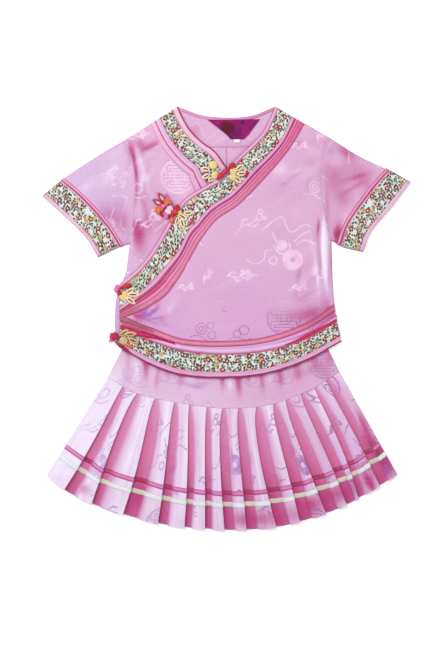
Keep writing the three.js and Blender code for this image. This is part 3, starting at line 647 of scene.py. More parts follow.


# painted shade, or painted highlight where negative, by part
SHADE_PATCHES = {
    "underlap": shade_patches(
        (-130, 156, 8, 15, -0.85), (-130, 262, 9, 9, 0.7), (-145, 246, 6, 12, 0.6), (-114, 258, 22, 7, 0.6, 34),
        (-141, 240, 5, 34, 0.85, 8), (-137, 186, 4, 30, 0.4), (-124, 172, 14, 30, 0.34), (-131, 126, 13, 34, 0.8, 6),
        (-144, 132, 3, 26, -0.8), (-116, 214, 7, 20, -0.4, -45), (-122, 232, 12, 8, -0.2),
        (-84, 178, 26, 10, 0.2, -20), (-104, 92, 14, 16, 0.3), (-100, 141, 22, 26, 0.45), (-134, 133, 8, 20, 0.3),
        (-140, 218, 6, 12, 0.3), (-70, 196, 10, 24, -0.2, 20), (-90, 232, 26, 12, 0.16, 30)),
    "overlap": shade_patches(
        (-128, 5, 14, 8, 0.5, 20), (-133, 4, 10, 2.5, 0.6, -20), (-120, 13, 9, 1.6, 0.3, 50),
        (-110, 17, 9, 3, -0.5, 45), (154, 12, 9, 20, 0.55), (140, -6, 24, 7, 0.5, 24), (98, 6, 16, 9, 0.3, 20),
        (110, 262, 12, 10, 0.5), (158, 88, 2.6, 34, 0.9), (84, 226, 16, 12, -0.34, -40), (108, 222, 12, 4, -0.4, 20),
        (148, 250, 5, 16, 0.3), (101, 232, 16, 12, 0.1), (126, 234, 14, 14, 0.36), (95, 193, 30, 22, 0.34),
        (138, 139, 4.5, 17, 0.62, -12), (148, 98, 6, 54, -0.9, -2), (143, 70, 4, 20, 0.5, 10),
        (110, 66, 10, 13, 0.34, -20), (131, 74, 6, 14, -0.35), (-52, 147, 7, 5, 1.5, 45), (29, 213, 7, 4, 1.3, 45),
        (113, 30, 14, 9, 0.4), (141, 30, 9, 8, 0.36), (126, 8, 26, 12, 0.7, 20), (129, 2, 34, 14, 0.2, 28),
        (158, 40, 4, 24, -0.4), (76, 220, 14, 8, -0.24), (-20, -16, 70, 14, 0.12), (160, 20, 3, 40, 0.3),
        (70, 8, 34, 14, 0.16, 10), (-124, 10, 10, 14, 0.42, -40), (-108, 14, 5, 16, 0.7, -35),
        (-98, -2, 12, 5, 0.45, 30), (-118, 22, 12, 4, 0.5, 40), (-84, 14, 5, 16, -0.3, -30),
        (-144, -8, 16, 6, 0.9, -12), (150, 262, 20, 6, 0.2, -25), (132, 262, 9, 12, 0.24, 30), (0, 100, 60, 60, -0.1),
        (20, 190, 30, 10, 0.14, -40)),
    "sleeve": shade_patches(
        (167, 124, 6, 11, 1.7), (168, 134, 12, 24, 0.5), (178, 178, 16, 18, 0.45), (194, 212, 22, 3, 0.35, 18),
        (190, 196, 22, 3, 0.3, 30), (164, 240, 10, 12, -0.35), (230, 168, 10, 22, 0.3, -35),
        (160, 210, 20, 32, 0.62, 8), (210, 206, 40, 20, 0.6, -38), (192, 128, 26, 12, 0.3, 40),
        (228, 200, 16, 8, -0.4, -38), (178, 251, 18, 10, 0.65, -30), (150, 165, 5, 24, 0.5),
        (-146, 232, 6, 36, 0.4, -8), (-152, 140, 8, 26, 0.3), (-176, 214, 8, 24, -0.3, -30),
        (-212, 196, 20, 10, -0.3, 40), (-166, 250, 18, 6, -0.2, 30), (-172, 152, 24, 22, 0.6),
        (-190, 160, 12, 30, 0.14, -20), (-168, 112, 22, 8, 0.3, -10)),
    "back": shade_patches(
        (-10, 258, 60, 10, 0.2), (-47, 284, 14, 14, 0.25), (-50, 280, 14, 14, 0.3, 40), (40, 262, 30, 6, 0.2)),
    "yoke": shade_patches(
        (-148, -66, 6, 18, 0.54), (-121, -74, 6, 20, 0.84), (-104, -90, 5, 18, 0.55, -8), (-88, -86, 7, 12, 0.3),
        (-69, -91, 6, 16, 0.5, -4), (-38, -98, 20, 5, 0.41), (-6, -94, 4.5, 17, 0.7), (18, -97, 6, 20, 0.9, 4),
        (32, -90, 4, 15, 0.41), (53, -92, 5, 19, 0.62, 6), (80, -84, 5, 19, 0.55, 8), (106, -75, 6, 19, 0.48, 10),
        (132, -64, 8, 17, 0.48, 14), (154, -56, 8, 12, 0.54), (-135, -80, 5, 22, -0.6), (5, -96, 5, 14, -0.6),
        (-54, -90, 5, 12, -0.48), (66, -92, 5, 12, -0.48), (112, -82, 44, 10, 0.42, 20),
        (-172, -92, 16, 26, -0.45, -30), (150, -84, 10, 14, 0.41), (92, -96, 5, 12, -0.36)),
    "pleats": shade_patches(
        (217, -196, 12, 22, 2.0, 25), (232, -206, 10, 14, 0.9, 30), (204, -158, 7, 22, 0.7, 28),
        (186, -136, 3.5, 22, -0.7, 30), (-130, -264, 8, 26, 0.7, -12), (-206, -216, 6, 12, 0.8, -30),
        (215, -247, 5, 19, 0.8, 28), (35, -212, 6, 20, 0.7), (30, -306, 34, 12, 0.35), (-175, -219, 7, 14, 0.7, -25),
        (124, -279, 8, 10, 0.6), (80, -250, 6, 28, 0.7, 10), (-115, -249, 6, 12, 0.6, -12), (200, -222, 9, 10, 0.5),
        (210, -150, 12, 30, 0.3, 25), (140, -197, 24, 50, 0.2, 20), (-214, -254, 12, 12, 0.8, -30),
        (-190, -236, 5, 11, 0.6, -28), (-16, -299, 12, 10, -0.4), (236, -222, 20, 22, 0.9, 30),
        (46, -296, 70, 16, 0.6), (-133, -262, 9, 26, 0.6, -14), (165, -262, 70, 20, 0.85, 24),
        (-210, -190, 30, 60, -0.5, -25), (-90, -300, 60, 10, 0.2, -10), (180, -120, 14, 30, 0.3, 20)),
}

# painted violet shade, by part
VIOLET_SHADE_PATCHES = {
    "overlap": shade_patches(
        (-120, 16, 12, 2.2, 1.0, 52), (-112, 9, 12, 2.0, 0.9, 34), (-103, 1, 14, 1.8, 0.8, 10),
        (-112, -5, 11, 1.8, 0.7, -25), (-118, 8, 17, 11, 0.4), (-92, -8, 10, 3, 0.4, -18), (142, 0, 18, 12, 0.35),
        (120, -8, 26, 6, 0.3, 18), (100, 212, 20, 3, 0.4, 35), (88, 200, 14, 3, 0.35, -20), (122, 200, 4, 14, 0.35),
        (-60, -18, 34, 8, 0.2, -10)),
    "yoke": shade_patches(
        (-62, -96, 18, 4, 0.4, -14), (-44, -103, 18, 3.4, 0.4, -10), (-34, -97, 12, 4, 0.3, 14),
        (-150, -92, 8, 16, 0.25, -20), (0, -100, 5, 9, 0.3)),
    "sleeve": shade_patches(
        (-182, 150, 14, 30, 0.3, -30), (-160, 172, 12, 24, 0.25), (-150, 250, 10, 10, 0.25), (156, 252, 7, 10, 0.4),
        (180, 236, 18, 5, 0.2, -30)),
    "pleats": shade_patches(
        (236, -228, 16, 14, 0.5, 30), (188, -262, 30, 9, 0.4, 26), (120, -292, 30, 8, 0.35, 12),
        (-218, -238, 7, 12, 0.5, -30), (40, -300, 30, 8, 0.25)),
    "underlap": shade_patches(
        (-126, 150, 10, 24, 0.25), (-128, 218, 6, 20, 0.25)),
}


def tint(made: Piece, part: str) -> None:
    """Stores the painted shade, painted highlight and painted violet shade at each vertex, with a little random
    mottling.

    Args:
        made: the piece.
        part: its part of the set, which says where its patches of painted shade are.
    """
    x, y = spots_of(made).T[:2]
    depth, cool = (sum((blot.at(x, y) for blot in table.get(part, ())), np.zeros(x.shape))
                   for table in (SHADE_PATCHES, VIOLET_SHADE_PATCHES))
    if part in ("underlap", "overlap", "sleeve"):  # painted shade past each ridge and in each trough
        far = creased(LAY.creases, x - 4, y + 1)
        depth = depth + 0.24 * (far - creased(LAY.creases, x + 1, y)) - 0.1 * far
    if part == "yoke":  # in the jacket's shade
        depth = depth + 0.5 * np.exp(-((distance_to(CUT.hem_line(HemLine.HEM, 8), x, y) / 5) ** 2))
    put_values(made, "tint", depth + 0.16 * (rippled(x, y, 0.8) - 0.5))
    put_values(made, "cool", cool)


def seam_dip(line: Line, x: Array, y: Array, depth: float = 0.6, width: float = 2.6) -> Array:
    """How far cloth dips where it is sewn along a line."""
    return depth * np.exp(-((distance_to(line, x, y) / width) ** 2))


# ---------------------------------------------------------------- the jacket's cloth


@dataclass(frozen=True)
class Grain:
    """Where a piece was cut from the brocade: a turn and a shift of its figures."""

    across: float = 0.0
    up: float = 0.0
    turn: float = 0.0

    def of(self, x: Array, y: Array) -> tuple[Array, Array]:
        """The cloth's own coordinates of places on the table."""
        angle = math.radians(self.turn)
        return (x * math.cos(angle) + y * math.sin(angle) + self.across,
                y * math.cos(angle) - x * math.sin(angle) + self.up)


def cloth_object(name: str, rows: Array, top: Array, grain: Grain, thickness: float = CLOTH,
                 values: Optional[dict[str, Array]] = None) -> Piece:
    """Panel of brocade that lies over a grid of places."""
    upper, lower = np.dstack([rows, top]), np.dstack([rows, top - thickness])
    return shell(name, upper, lower, np.dstack(grain.of(rows[..., 0], rows[..., 1])), values)


@dataclass
class JacketBody:
    """Back, underlap and overlap, and the seams that show inside the neck."""

    shade: "Palette"
    grid: float = 2.2  # spacing of the cloth meshes
    hidden_grid: float = 4.0  # spacing where the cloth is hidden

    def back(self) -> None:
        """The back, whose inside shows in the neck."""
        hem = CUT.hem_line(HemLine.HEM)
        hem[0] = CUT.side_right[0]
        side_right = joined(curve(CUT.side_right), curve(CUT.armhole_right))
        side_left = joined(curve(CUT.side_left), curve(CUT.armhole_left))
        steps = round(335 / self.hidden_grid)
        top = joined(by_width(places(CUT.shoulder_right, CUT.neck_right), round(81 / self.hidden_grid)),
                     by_width(curve(CUT.back_neck), round(146 / self.hidden_grid)),
                     by_width(places(CUT.neck_left, CUT.shoulder_left), round(82 / self.hidden_grid)))
        rise = np.linspace(0, 1, steps) ** 0.9
        left = along(side_right, rise * length_of(side_right))
        right = along(side_left, rise * length_of(side_left))
        rows = patch(by_width(raised(hem, 1), len(top) - 1), top, left, right, rise)
        x, y = rows[..., 0], rows[..., 1]
        height = LAY.jacket_floor(x, y) + CLOTH + 0.25 * rippled(x, y, 0.5)
        self._panel("back_panel", rows, height, Grain(40, 70), "jacket_back", "back")

    def underlap(self) -> None:
        """The wearer's right front, under the overlap."""
        hidden = curve(CUT.underlap_hidden)
        side = joined(curve(places((-160, 8), (-150, 73), (-145, 112))), curve(CUT.armhole_right))
        neck = np.vstack([places((28, 176), (14, 205)), curve(CUT.neck_edge)[::-1]])
        up, across = round(270 / self.grid), round(210 / self.grid)
        top = places(CUT.shoulder_right, CUT.neck_right)
        rows = patch(spread(hidden, across), spread(top, across), spread(side, up), spread(neck, up))
        x, y = rows[..., 0], rows[..., 1]
        height = LAY.under_top(x, y) - seam_dip(curve(CUT.armhole_right, 5), x, y)
        self._panel("underlap_front", rows, height, Grain(243, -1), "jacket_front_under", "underlap")

    def overlap(self) -> None:
        """The wearer's left front, which crosses to the right side."""
        side = joined(curve(CUT.side_left), curve(CUT.armhole_left))
        shoulder = by_width(places(CUT.neck_left, CUT.shoulder_left), round(82 / self.grid))
        top = joined(by_width(curve(CUT.lapel)[::-1], round(233 / self.grid)), shoulder)
        hem = by_width(CUT.hem_line(HemLine.HEM), len(top) - 1)
        up = round(310 / self.grid)
        upright = places((-160, -42), (-160, 52))
        rows = patch(hem, top, spread(upright, up), spread(side, up))
        x, y = rows[..., 0], rows[..., 1]
        height = LAY.over_top(x, y) - seam_dip(curve(CUT.armhole_left, 5), x, y)
        height = height - 0.5 * np.exp(-distance_to(curve(CUT.side_left, 8), x, y) / 2.0)
        self._panel("overlap_front", rows, height, Grain(-86, -1), "jacket_front_over", "overlap")

    def _panel(self, name: str, rows: Array, height: Array, grain: Grain, node: str, part: str) -> None:
        """Makes one panel, dresses it and puts it in place of its node."""
        made = cloth_object(name, rows, height, grain)
        self.shade.brocade(made, part)
        declare(made, node, "jacket_brocade", rows, height)

    def inside_seams(self) -> None:
        """The facing's seam and the centre seam on the inside of the back."""
        lines = {
            "back_facing_seam": curve(places((-56, 255), (-20, 257), (20, 257), (44, 259))),
            "back_centre_seam": places((-1, 257), (-1, 240), (-1, 222)),
        }
        for name, line in lines.items():
            made = sewn_band(name, line, beside(line, 1.6), lambda x, y: LAY.jacket_floor(x, y) + 1.15, 0.35, 4)
            self.shade.satin(made, Tone.SEAM)
            ride(made, "jacket_back", "satin_binding")

    def armhole_seams(self) -> None:
        """The pressed seams that join the sleeves, each a low ridge."""
        for side, armhole, base in (("right", CUT.armhole_right, LAY.under_top),
                                    ("left", CUT.armhole_left, LAY.over_top)):
            line = curve(armhole, 5)
            made = sewn_band(f"armhole_seam_{side}", beside(line, -1.3), beside(line, 1.3),
                             lambda x, y, low=base: low(x, y) - 0.5, 1.0, 6, Profile.ROUND, pucker=0.12)
            self.shade.brocade(made, "sleeve")
            ride(made, None, "jacket_brocade")

    def build(self) -> None:
        """Makes the whole body."""
        self.back()
        self.underlap()
        self.overlap()
        self.inside_seams()
        self.armhole_seams()


def ride(made: Piece, node: Optional[str], slot: str, stands_for: bool = False) -> None:
    """Ties a piece to the set, and says which node it shows.

    Args:
        made: the piece.
        node: the node that it belongs to, if any.
        slot: not used.
        stands_for: whether it replaces the node.
    """
    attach(made, "root")
    if stands_for and node:
        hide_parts(node)
    LOG.info("%s on %s: %s mm", made.name, node, np.ptp(spots_of(made), axis=0).round(1).tolist())


def spots_of(made: Piece) -> Array:
    """Places of a mesh's vertices in millimetres, one row each."""
    flat = np.empty(len(made.data.vertices) * 3, dtype=np.float32)
    made.data.vertices.foreach_get("co", flat)
    return flat.reshape(-1, 3) / MM


def declare(made: Piece, node: str, slot: str, rows: Array, height: Array,
            flat: Optional[tuple[float, float]] = None, layers: int = 1) -> None:
    """Replaces a node with a sheet of cloth.

    Args:
        made: the sheet.
        node: the node it stands for.
        slot: not used.
        rows: its places on the table.
        height: its height at each.
        flat: width and length of the cloth it was cut from in millimetres, its own box if left out.
        layers: how many times over the table it lies.
    """
    ride(made, node, slot, stands_for=True)
    x, y = rows[..., 0], rows[..., 1]
    width, length = flat or (float(np.ptp(x)), float(np.ptp(y)))
    area = area_of(np.dstack([rows, height])) * layers
    area = min(max(area, 0.3 * width * length * MM * MM), width * length * MM * MM)


# ---------------------------------------------------------------- sleeves and sewn-on bands


class Profile(Enum):
    """How a sewn-on band stands up across its width."""

    FLAT = "flat"
    ROUND = "round"
    RIDGED = "ridged"

    def across(self, share: Array) -> Array:
        """Its height across the band, from 0 to 1."""
        edge = np.minimum(share, 1 - share)
        if self is Profile.ROUND:
            return np.sqrt(np.clip(1 - (2 * share - 1) ** 2, 0, 1)) * 0.85 + 0.15
        if self is Profile.RIDGED:
            ridges = np.exp(-(((edge - 0.13) / 0.09) ** 2))
            return 0.42 + 0.3 * ridges + 0.1 * np.exp(-(((share - 0.5) / 0.2) ** 2)) - 0.35 * np.exp(-edge / 0.03)
        return 1 - 0.55 * np.exp(-edge / 0.05)


def sewn_band(name: str, inner: Line, outer: Line, base: Height, height: float, steps: int,
              profile: Profile = Profile.FLAT, depth: float = 0.3, pucker: float = 0.0) -> Piece:
    """Band of cloth that follows two lines and lies on what is under it.

    Args:
        name: the object's name.
        inner: its inner edge.
        outer: its outer edge, with as many points.
        base: height of the cloth that it is sewn to.
        height: how far it stands over that cloth.
        steps: how many strips it has across.
        profile: its form across.
        depth: how far its underside lies below the cloth's face.
        pucker: height of the small gathers along it.

    Returns:
        The object. Its cloth coordinates run along the band and across it.
    """
    share = np.linspace(0, 1, steps + 1)
    rows = inner[None] * (1 - share)[:, None, None] + outer[None] * share[:, None, None]
    x, y = rows[..., 0], rows[..., 1]
    run = np.broadcast_to(travelled((inner + outer) / 2)[None], x.shape)
    gathers = np.sin(run / 1.9 + 1.5 * np.sin(run / 7.3)) * np.sin(run / 11.0 + 1) * np.sin(np.pi * share)[:, None]
    floor = base(x, y)
    top = floor + height * profile.across(share)[:, None] + pucker * gathers
    width = np.linalg.norm(outer - inner, axis=1).mean()
    cloth = np.dstack([run, np.broadcast_to(share[:, None] * width, x.shape)])
    return shell(name, np.dstack([rows, top]), np.dstack([rows, floor - depth]), cloth)


def matched(first: Line, second: Line, spacing: float = 1.5) -> tuple[Line, Line]:
    """Two lines with as many points as each other."""
    steps = round(max(length_of(first), length_of(second)) / spacing)
    return spread(first, steps), spread(second, steps)


@dataclass
class Sleeve:
    """One sleeve and the three bands round its cuff."""

    cut: SleeveCut
    shade: "Palette"
    grain: Grain
    columns: int = 64
    spacing: float = 2.2
    wall: float = 2.3
    cuff_lift: float = LAYER
    cuff_slope: tuple[float, float] = (1.0, 16.0)  # how far past the trims it starts down, and over how far

    def _heights(self, rows: Array) -> tuple[Array, Array]:
        """Heights of the sleeve's two faces at places on the table.

        Args:
            rows: the places.

        Returns:
            Heights of the lower face, then of the upper.
        """
        x, y = rows[..., 0], rows[..., 1]
        trims = self.cut.rows_at([0, self.cut.tape_end], 12)
        zone = np.vstack([trims[0], trims[-1][::-1]])
        start, reach = self.cuff_slope
        low = self.cuff_lift * (1 - ease((outside_by(zone, x, y) - start) / reach))
        high = low + self.wall + LAY.crown(x, y) + creased(LAY.folds, x, y)
        high -= seam_dip(curve(self.cut.armhole, 5), x, y) * np.exp(-inside_by(zone, x, y))
        return low, high

    def cloth(self) -> Piece:
        """The sleeve itself, a flattened tube from the cuff to the armhole."""
        reach = self.cut.reach()
        rows = self.cut.rows_at(np.linspace(0, reach, round(reach / self.spacing)), self.columns)
        low, high = self._heights(rows)
        made = tube_of_cloth(f"sleeve_{self.cut.side}_cloth", rows, low, high)
        turn_grain(made, self.grain)
        self.shade.brocade(made, "sleeve")
        node = f"sleeve_{self.cut.side}"
        across, up = float(np.ptp(rows[..., 0])), float(np.ptp(rows[..., 1]))
        declare(made, node, "jacket_brocade", rows, high, flat=(2.0 * up, 1.05 * across), layers=2)
        return made

    def band(self, part: str, start: float, stop: float, profile: Profile, stand: float) -> Piece:
        """One band round the cuff.

        Args:
            part: its name on this sleeve.
            start: its edge nearer the cuff.
            stop: its other edge.
            profile: its form across.
            stand: how far it stands over the sleeve.

        Returns:
            The band.
        """
        steps = max(4, round((stop - start) / 1.2))
        share = np.linspace(0, 1, steps + 1)
        rows = self.cut.rows_at(start + (stop - start) * share, self.columns)
        for end, neighbour in ((0, 1), (-1, -2)):
            run = rows[:, end] - rows[:, neighbour]
            rows[:, end] += run / np.linalg.norm(run, axis=1, keepdims=True) * 1.1
        low, high = self._heights(rows)
        rise = stand * profile.across(share)[:, None]
        made = tube_of_cloth(f"cuff_{self.cut.side}_{part}_band", rows, np.maximum(low - rise, 0.0), high + rise,
                             thickness=0.6)
        declare(made, f"cuff_{self.cut.side}_{part}", BAND_SLOTS[part], rows, high,
                flat=(2 * length_of(rows[0]) + 4, max(stop - start, 10)), layers=2)
        return made

    def build(self) -> None:
        """Makes the sleeve and dresses it."""
        cut = self.cut
        self.cloth()
        self.shade.satin(self.band("binding", -0.6, cut.binding, Profile.ROUND, 0.9), Tone.CUFF)
        self.shade.print(self.band("floral", cut.binding, cut.floral, Profile.FLAT, 0.6), 3.0)
        self.shade.tape(self.band("tape", cut.tape_start, cut.tape_end, Profile.RIDGED, 0.9), TapeLook.CUFF)


BAND_SLOTS = {"binding": "satin_binding", "floral": "floral_cotton", "tape": "satin_tape"}


def turn_grain(made: Piece, grain: Grain) -> None:
    """Moves a piece's cloth coordinates to where it was cut from.

    Args:
        made: the piece.
        grain: where that is.
    """
    layer = made.data.uv_layers["cloth"].data
    flat = np.empty(len(layer) * 2, dtype=np.float32)
    layer.foreach_get("uv", flat)
    pairs = flat.reshape(-1, 2) / MM
    across, up = grain.of(pairs[:, 0], pairs[:, 1])
    layer.foreach_set("uv", (np.stack([across, up], axis=1) * MM).astype(np.float32).ravel())


def lie(made: Piece, node: str, inner: Line, outer: Line) -> None:
    """Ties a sewn-on band to the set in place of the node that it stands for.

    Args:
        made: the band.
        node: the node that it stands for.
        inner: one long edge.
        outer: the other, with as many points.
    """
    slot = next(slot for part, slot in BAND_SLOTS.items() if part in node.replace("piping", "binding"))
    ride(made, node, slot, stands_for=True)
    length = length_of((inner + outer) / 2)


def unit(run: Array) -> Array:
    """The same direction, one millimetre long."""
    return run / np.linalg.norm(run)


@dataclass
class Trims:
    """Bands sewn on one front."""

    shade: "Palette"
    base: Height = LAY.over_top
    strip: float = 1.1  # width of each strip of a band's mesh

    def band(self, name: str, node: str, edges: tuple[Line, Line], height: float, profile: Profile,
             depth: float = 0.3, pucker: float = 0.0, across: Optional[float] = None) -> Piece:
        """One of the bands.

        Args:
            name: the piece's name.
            node: the node that it stands for.
            edges: its two long edges.
            height: how far it stands over the cloth.
            profile: its form across.
            depth: how far its underside lies below the cloth's face.
            pucker: height of the small gathers along it.
            across: its width, measured if left out.

        Returns:
            The band.
        """
        inner, outer = matched(*edges)
        if across is None:
            across = float(np.linalg.norm(outer - inner, axis=1).mean())
        steps = max(5, round(across / self.strip))
        made = sewn_band(name, inner, outer, self.base, height, steps, profile, depth, pucker)
        lie(made, node, inner, outer)
        return made

    def strip_of(self, name: str, first: Line, second: Line, look: "TapeLook") -> None:
        """Pale strip of satin that shows between two trims."""
        made = sewn_band(name, *matched(first, second), self.base, 0.45, 5)
        self.shade.tape(made, look)
        ride(made, None, "satin_tape")


@dataclass
class LapelTrims(Trims):
    """Bands along the overlap's slanting edge, from the neck to the side."""

    stations: int = 18
    binding: float = 6.0
    floral: float = 28.0
    piping_start: float = 33.4
    piping_end: float = 35.6
    tape_start: float = 38.2
    tape_end: float = 50.0
    outer: Line = route((117, 291.5), (96, 256), (65, 218), (17, 169), (-14, 148), (-38, 118), (-55, 88), (-71, 60),
                        (-93, 32), (-126, 12), (-160, -1))

    def line(self, distance: float) -> Line:
        """Line at a distance inside the edge, which eases to the tape's outer edge past the floral band.

        Args:
            distance: how far inside the edge.

        Returns:
            Its points, from the neck down.
        """
        shoulder = unit(CUT.shoulder_left - CUT.neck_left)
        near = min(distance, self.floral)
        offset = curve(beside(spread(curve(CUT.lapel), self.stations), near, shoulder, np.array([0.0, -1.0])))
        if distance <= self.binding:
            return offset
        offset, outer = spread(offset, 150), spread(curve(self.outer), 150)
        # the floral band is wider at the chest and below it
        fuller = sum(more * np.exp(-(((offset[:, 1:] - y) / tall) ** 2))
                     for y, tall, more in ((110, 24, 0.18), (156, 15, 0.26)))
        share = max(distance - self.floral, 0) / (self.tape_end - self.floral)
        share = share + fuller * min(near - self.binding, self.floral) / (self.floral - self.binding) * (1 - share)
        return offset * (1 - share) + outer * share

    def between(self, name: str, node: str, start: float, stop: float, height: float, profile: Profile,
                depth: float = 0.3, pucker: float = 0.0) -> Piece:
        """One of the bands, between two distances from the edge."""
        edges = self.line(start), self.line(stop)
        return self.band(name, node, edges, height, profile, depth, pucker, stop - start)

    def build(self) -> None:
        """Makes the four bands, and the strips between them."""
        shade, line = self.shade, self.line
        shade.tape(self.between("lapel_edge_binding", "lapel_binding", -0.5, self.binding, 1.5, Profile.ROUND, 0.9),
                   TapeLook.LAPEL_EDGE)
        shade.print(self.between("lapel_floral_band", "lapel_floral", self.binding, self.floral, 0.8, Profile.FLAT),
                    0.0)
        shade.satin(self.between("lapel_piping_cord", "lapel_piping", self.piping_start - 0.3, self.piping_end, 1.3,
                                 Profile.ROUND, pucker=0.1), Tone.PIPING)
        self.strip_of("lapel_edging", line(self.floral), line(self.piping_start + 0.6), TapeLook.EDGING)
        self.strip_of("lapel_edging_outer", line(self.piping_end - 0.4), line(self.tape_start + 0.4),
                      TapeLook.EDGING_OUTER)
        shade.tape(self.between("lapel_tape_band", "lapel_tape", self.tape_start, self.tape_end, 1.4, Profile.RIDGED,
                                pucker=0.22), TapeLook.LAPEL)


@dataclass
class HemTrims(Trims):
    """Bands along the jacket's hem."""

    piping_width: float = 2.4
    start: float = -158.0  # where the piping and the tape start, at the wearer's right

    def build(self) -> None:
        """Makes the four bands, the folded corners with a sheet of painted shadow, and the strip beside the piping."""
        hem, low, high, tape_low, tape_high = (CUT.hem_line(column) for column in HemLine)
        piping, tape_low, tape_high = (line[line[:, 0] > self.start] for line in (high, tape_low, tape_high))
        shade, wide = self.shade, self.piping_width
        shade.tape(self.band("hem_edge_binding", "hem_binding", (raised(hem, -0.6), low), 1.5, Profile.ROUND, 0.9),
                   TapeLook.HEM_EDGE)
        shade.print(self.band("hem_floral_band", "hem_floral", (low, high), 0.8, Profile.FLAT), 1.5)
        shade.satin(self.band("hem_piping_cord", "hem_piping", (piping, raised(piping, wide)), 1.3, Profile.ROUND,
                              pucker=0.1), Tone.HEM_PIPING)
        shade.tape(self.band("hem_tape_band", "hem_tape", (tape_low, tape_high), 1.4, Profile.RIDGED, pucker=0.22),
                   TapeLook.HEM)
        self.corner()
        self.strip_of("hem_edging", raised(piping, wide - 0.4), raised(piping, wide + 7.4), TapeLook.HEM_PALE)

    def corner(self) -> None:
        """The trims' ends, folded together at both sides of the hem, and a sheet of painted shadow over the tape at the
        wearer's right.
        """
        for name, tone, upper, lower in (
                ("corner_fold", Tone.FOLD,
                 ((-159, -9.5), (-146, -13.5), (-133, -17.5), (-112, -23), (-92, -31), (-77, -36.6)),
                 ((-159, -16), (-146, -22), (-133, -27), (-112, -30), (-92, -34.6), (-77, -38.6))),
                # a sheet of painted shadow where the hem tape's end lies in shade
                ("corner_painted_shadow", Tone.PAINTED_SHADOW, ((-159, 3), (-148, 1.5), (-136, -4), (-120, -13.5), (-108, -19)),
                 ((-159, -5), (-148, -8), (-136, -11.5), (-120, -17), (-108, -20.5))),
                ("corner_fold_left", Tone.FOLD,
                 ((88, -38.6), (107, -29.4), (121, -21.6), (135, -15), (151, -6.6), (164, 0.6)),
                 ((88, -40.4), (107, -35), (121, -28.8), (135, -21.6), (149, -14.2), (166, -4.6)))):
            edges = matched(curve(places(*lower)), curve(places(*upper)))
            made = sewn_band(name, *edges, self.base, 1.9, 5, Profile.ROUND, pucker=0.2)
            self.shade.satin(made, tone)
            ride(made, None, "satin_tape")


@dataclass
class NeckTrims(Trims):
    """Bands round the neck of the underlap and the back, the label and the size tab."""

    base: Height = LAY.under_top
    stations: int = 14
    binding: float = 9.6
    floral: float = 32.0
    tape_start: float = 32.0
    tape_end: float = 51.5
    back_width: float = 4.5
    tuck: float = 24.0  # how far the bands run on under the overlap

    def line(self, distance: float) -> Line:
        """Line at a distance outside the neck's edge.

        Args:
            distance: how far outside.

        Returns:
            Its points, from the shoulder down.
        """
        shoulder = unit(CUT.shoulder_right - CUT.neck_right)
        end = CUT.neck_edge[-1] + unit(CUT.neck_edge[-1] - CUT.neck_edge[-2]) * self.tuck
        edge = spread(curve(np.vstack([CUT.neck_edge, end])), self.stations)
        side = beside(edge, -distance, shoulder)
        if distance > self.binding:  # the bands grow wider down the front
            side = edge + (side - edge) * (0.95 + 0.3 * np.linspace(0, 1, len(edge))[:, None] ** 2)
        return curve(side)

    def between(self, part: str, start: float, stop: float, height: float, profile: Profile, depth: float = 0.3,
                pucker: float = 0.0) -> Piece:
        """One of the bands on the underlap, between two distances from the edge."""
        name = "neck_edge_binding" if part == "binding" else f"neck_{part}_band"
        edges = self.line(start), self.line(stop)
        return self.band(name, f"neck_{part}_right", edges, height, profile, depth, pucker, stop - start)

    def back_binding(self) -> None:
        """Binding along the back neck, between the fronts."""
        edge = curve(CUT.back_neck)
        middle = edge[round(len(edge) * 0.05) : round(len(edge) * 0.97)]
        outer = beside(middle, -self.back_width)
        made = sewn_band("back_neck_binding", raised(middle, 0.5), outer,
                         lambda x, y: LAY.jacket_floor(x, y) + CLOTH + 0.3, 1.0, 6, Profile.ROUND, 0.5)
        self.shade.satin(made, Tone.BACK)
        lie(made, "neck_binding_back", middle, outer)

    def label(self) -> None:
        """The bare woven label, its lower corners turned in, and the bare size tab under it."""
        steps = 24
        foot, top = places((1, 275), (6, 269), (26, 269), (33, 276)), places((-28, 298), (50, 299))
        rows = patch(spread(foot, steps), spread(top, steps), spread(places(foot[0], top[0]), 14),
                     spread(places(foot[-1], top[-1]), 14))
        x, y = rows[..., 0], rows[..., 1]
        wave = 0.5 * np.sin(x / 7.0) * np.sin(y / 9.0) + 0.8 * np.exp(-(((x + 8 - (y - 270) * 0.6) / 4) ** 2))
        made = cloth_object("neck_label_cloth", rows, LAY.jacket_floor(x, y) + 2.3 + 0.4 * wave, Grain(), 0.5)
        self.shade.label(made)
        ride(made, "neck_label", "label_weave", stands_for=True)
        left, right = (places((x, 264), (x, 272)) for x in (11, 20))
        rows = patch(spread(places(left[0], right[0]), 8), spread(places(left[1], right[1]), 8), spread(left, 6),
                     spread(right, 6))
        x, y = rows[..., 0], rows[..., 1]
        made = cloth_object("size_tab_cloth", rows, LAY.jacket_floor(x, y) + 1.9 + 0.2 * np.sin(x / 3), Grain(), 0.4)
        self.shade.tab(made)
        ride(made, "size_tab", "tab_weave", stands_for=True)

    def build(self) -> None:
        """Makes the bands, the label and the tab."""
        shade = self.shade
        shade.tape(self.between("binding", -0.5, self.binding, 1.0, Profile.FLAT, 0.9), TapeLook.NECK_EDGE)
        shade.print(self.between("floral", self.binding, self.floral, 0.7, Profile.FLAT), 2.2)
        shade.tape(self.between("tape", self.tape_start, self.tape_end, 0.9, Profile.RIDGED, pucker=0.1), TapeLook.NECK)
        self.back_binding()
        self.label()


# ---------------------------------------------------------------- the skirt


@dataclass(frozen=True)
class Pleat:
    """One pleat: where its recess meets the seam and the hem, and how wide it opens there."""

    top: float
    hem: float
    drop: float
    recess: float
    bow: float = 0.0
    soft: float = 0.16  # share of the next panel that its recess's painted shade runs on over
    flare: float = 1.0  # how fast it opens below the seam


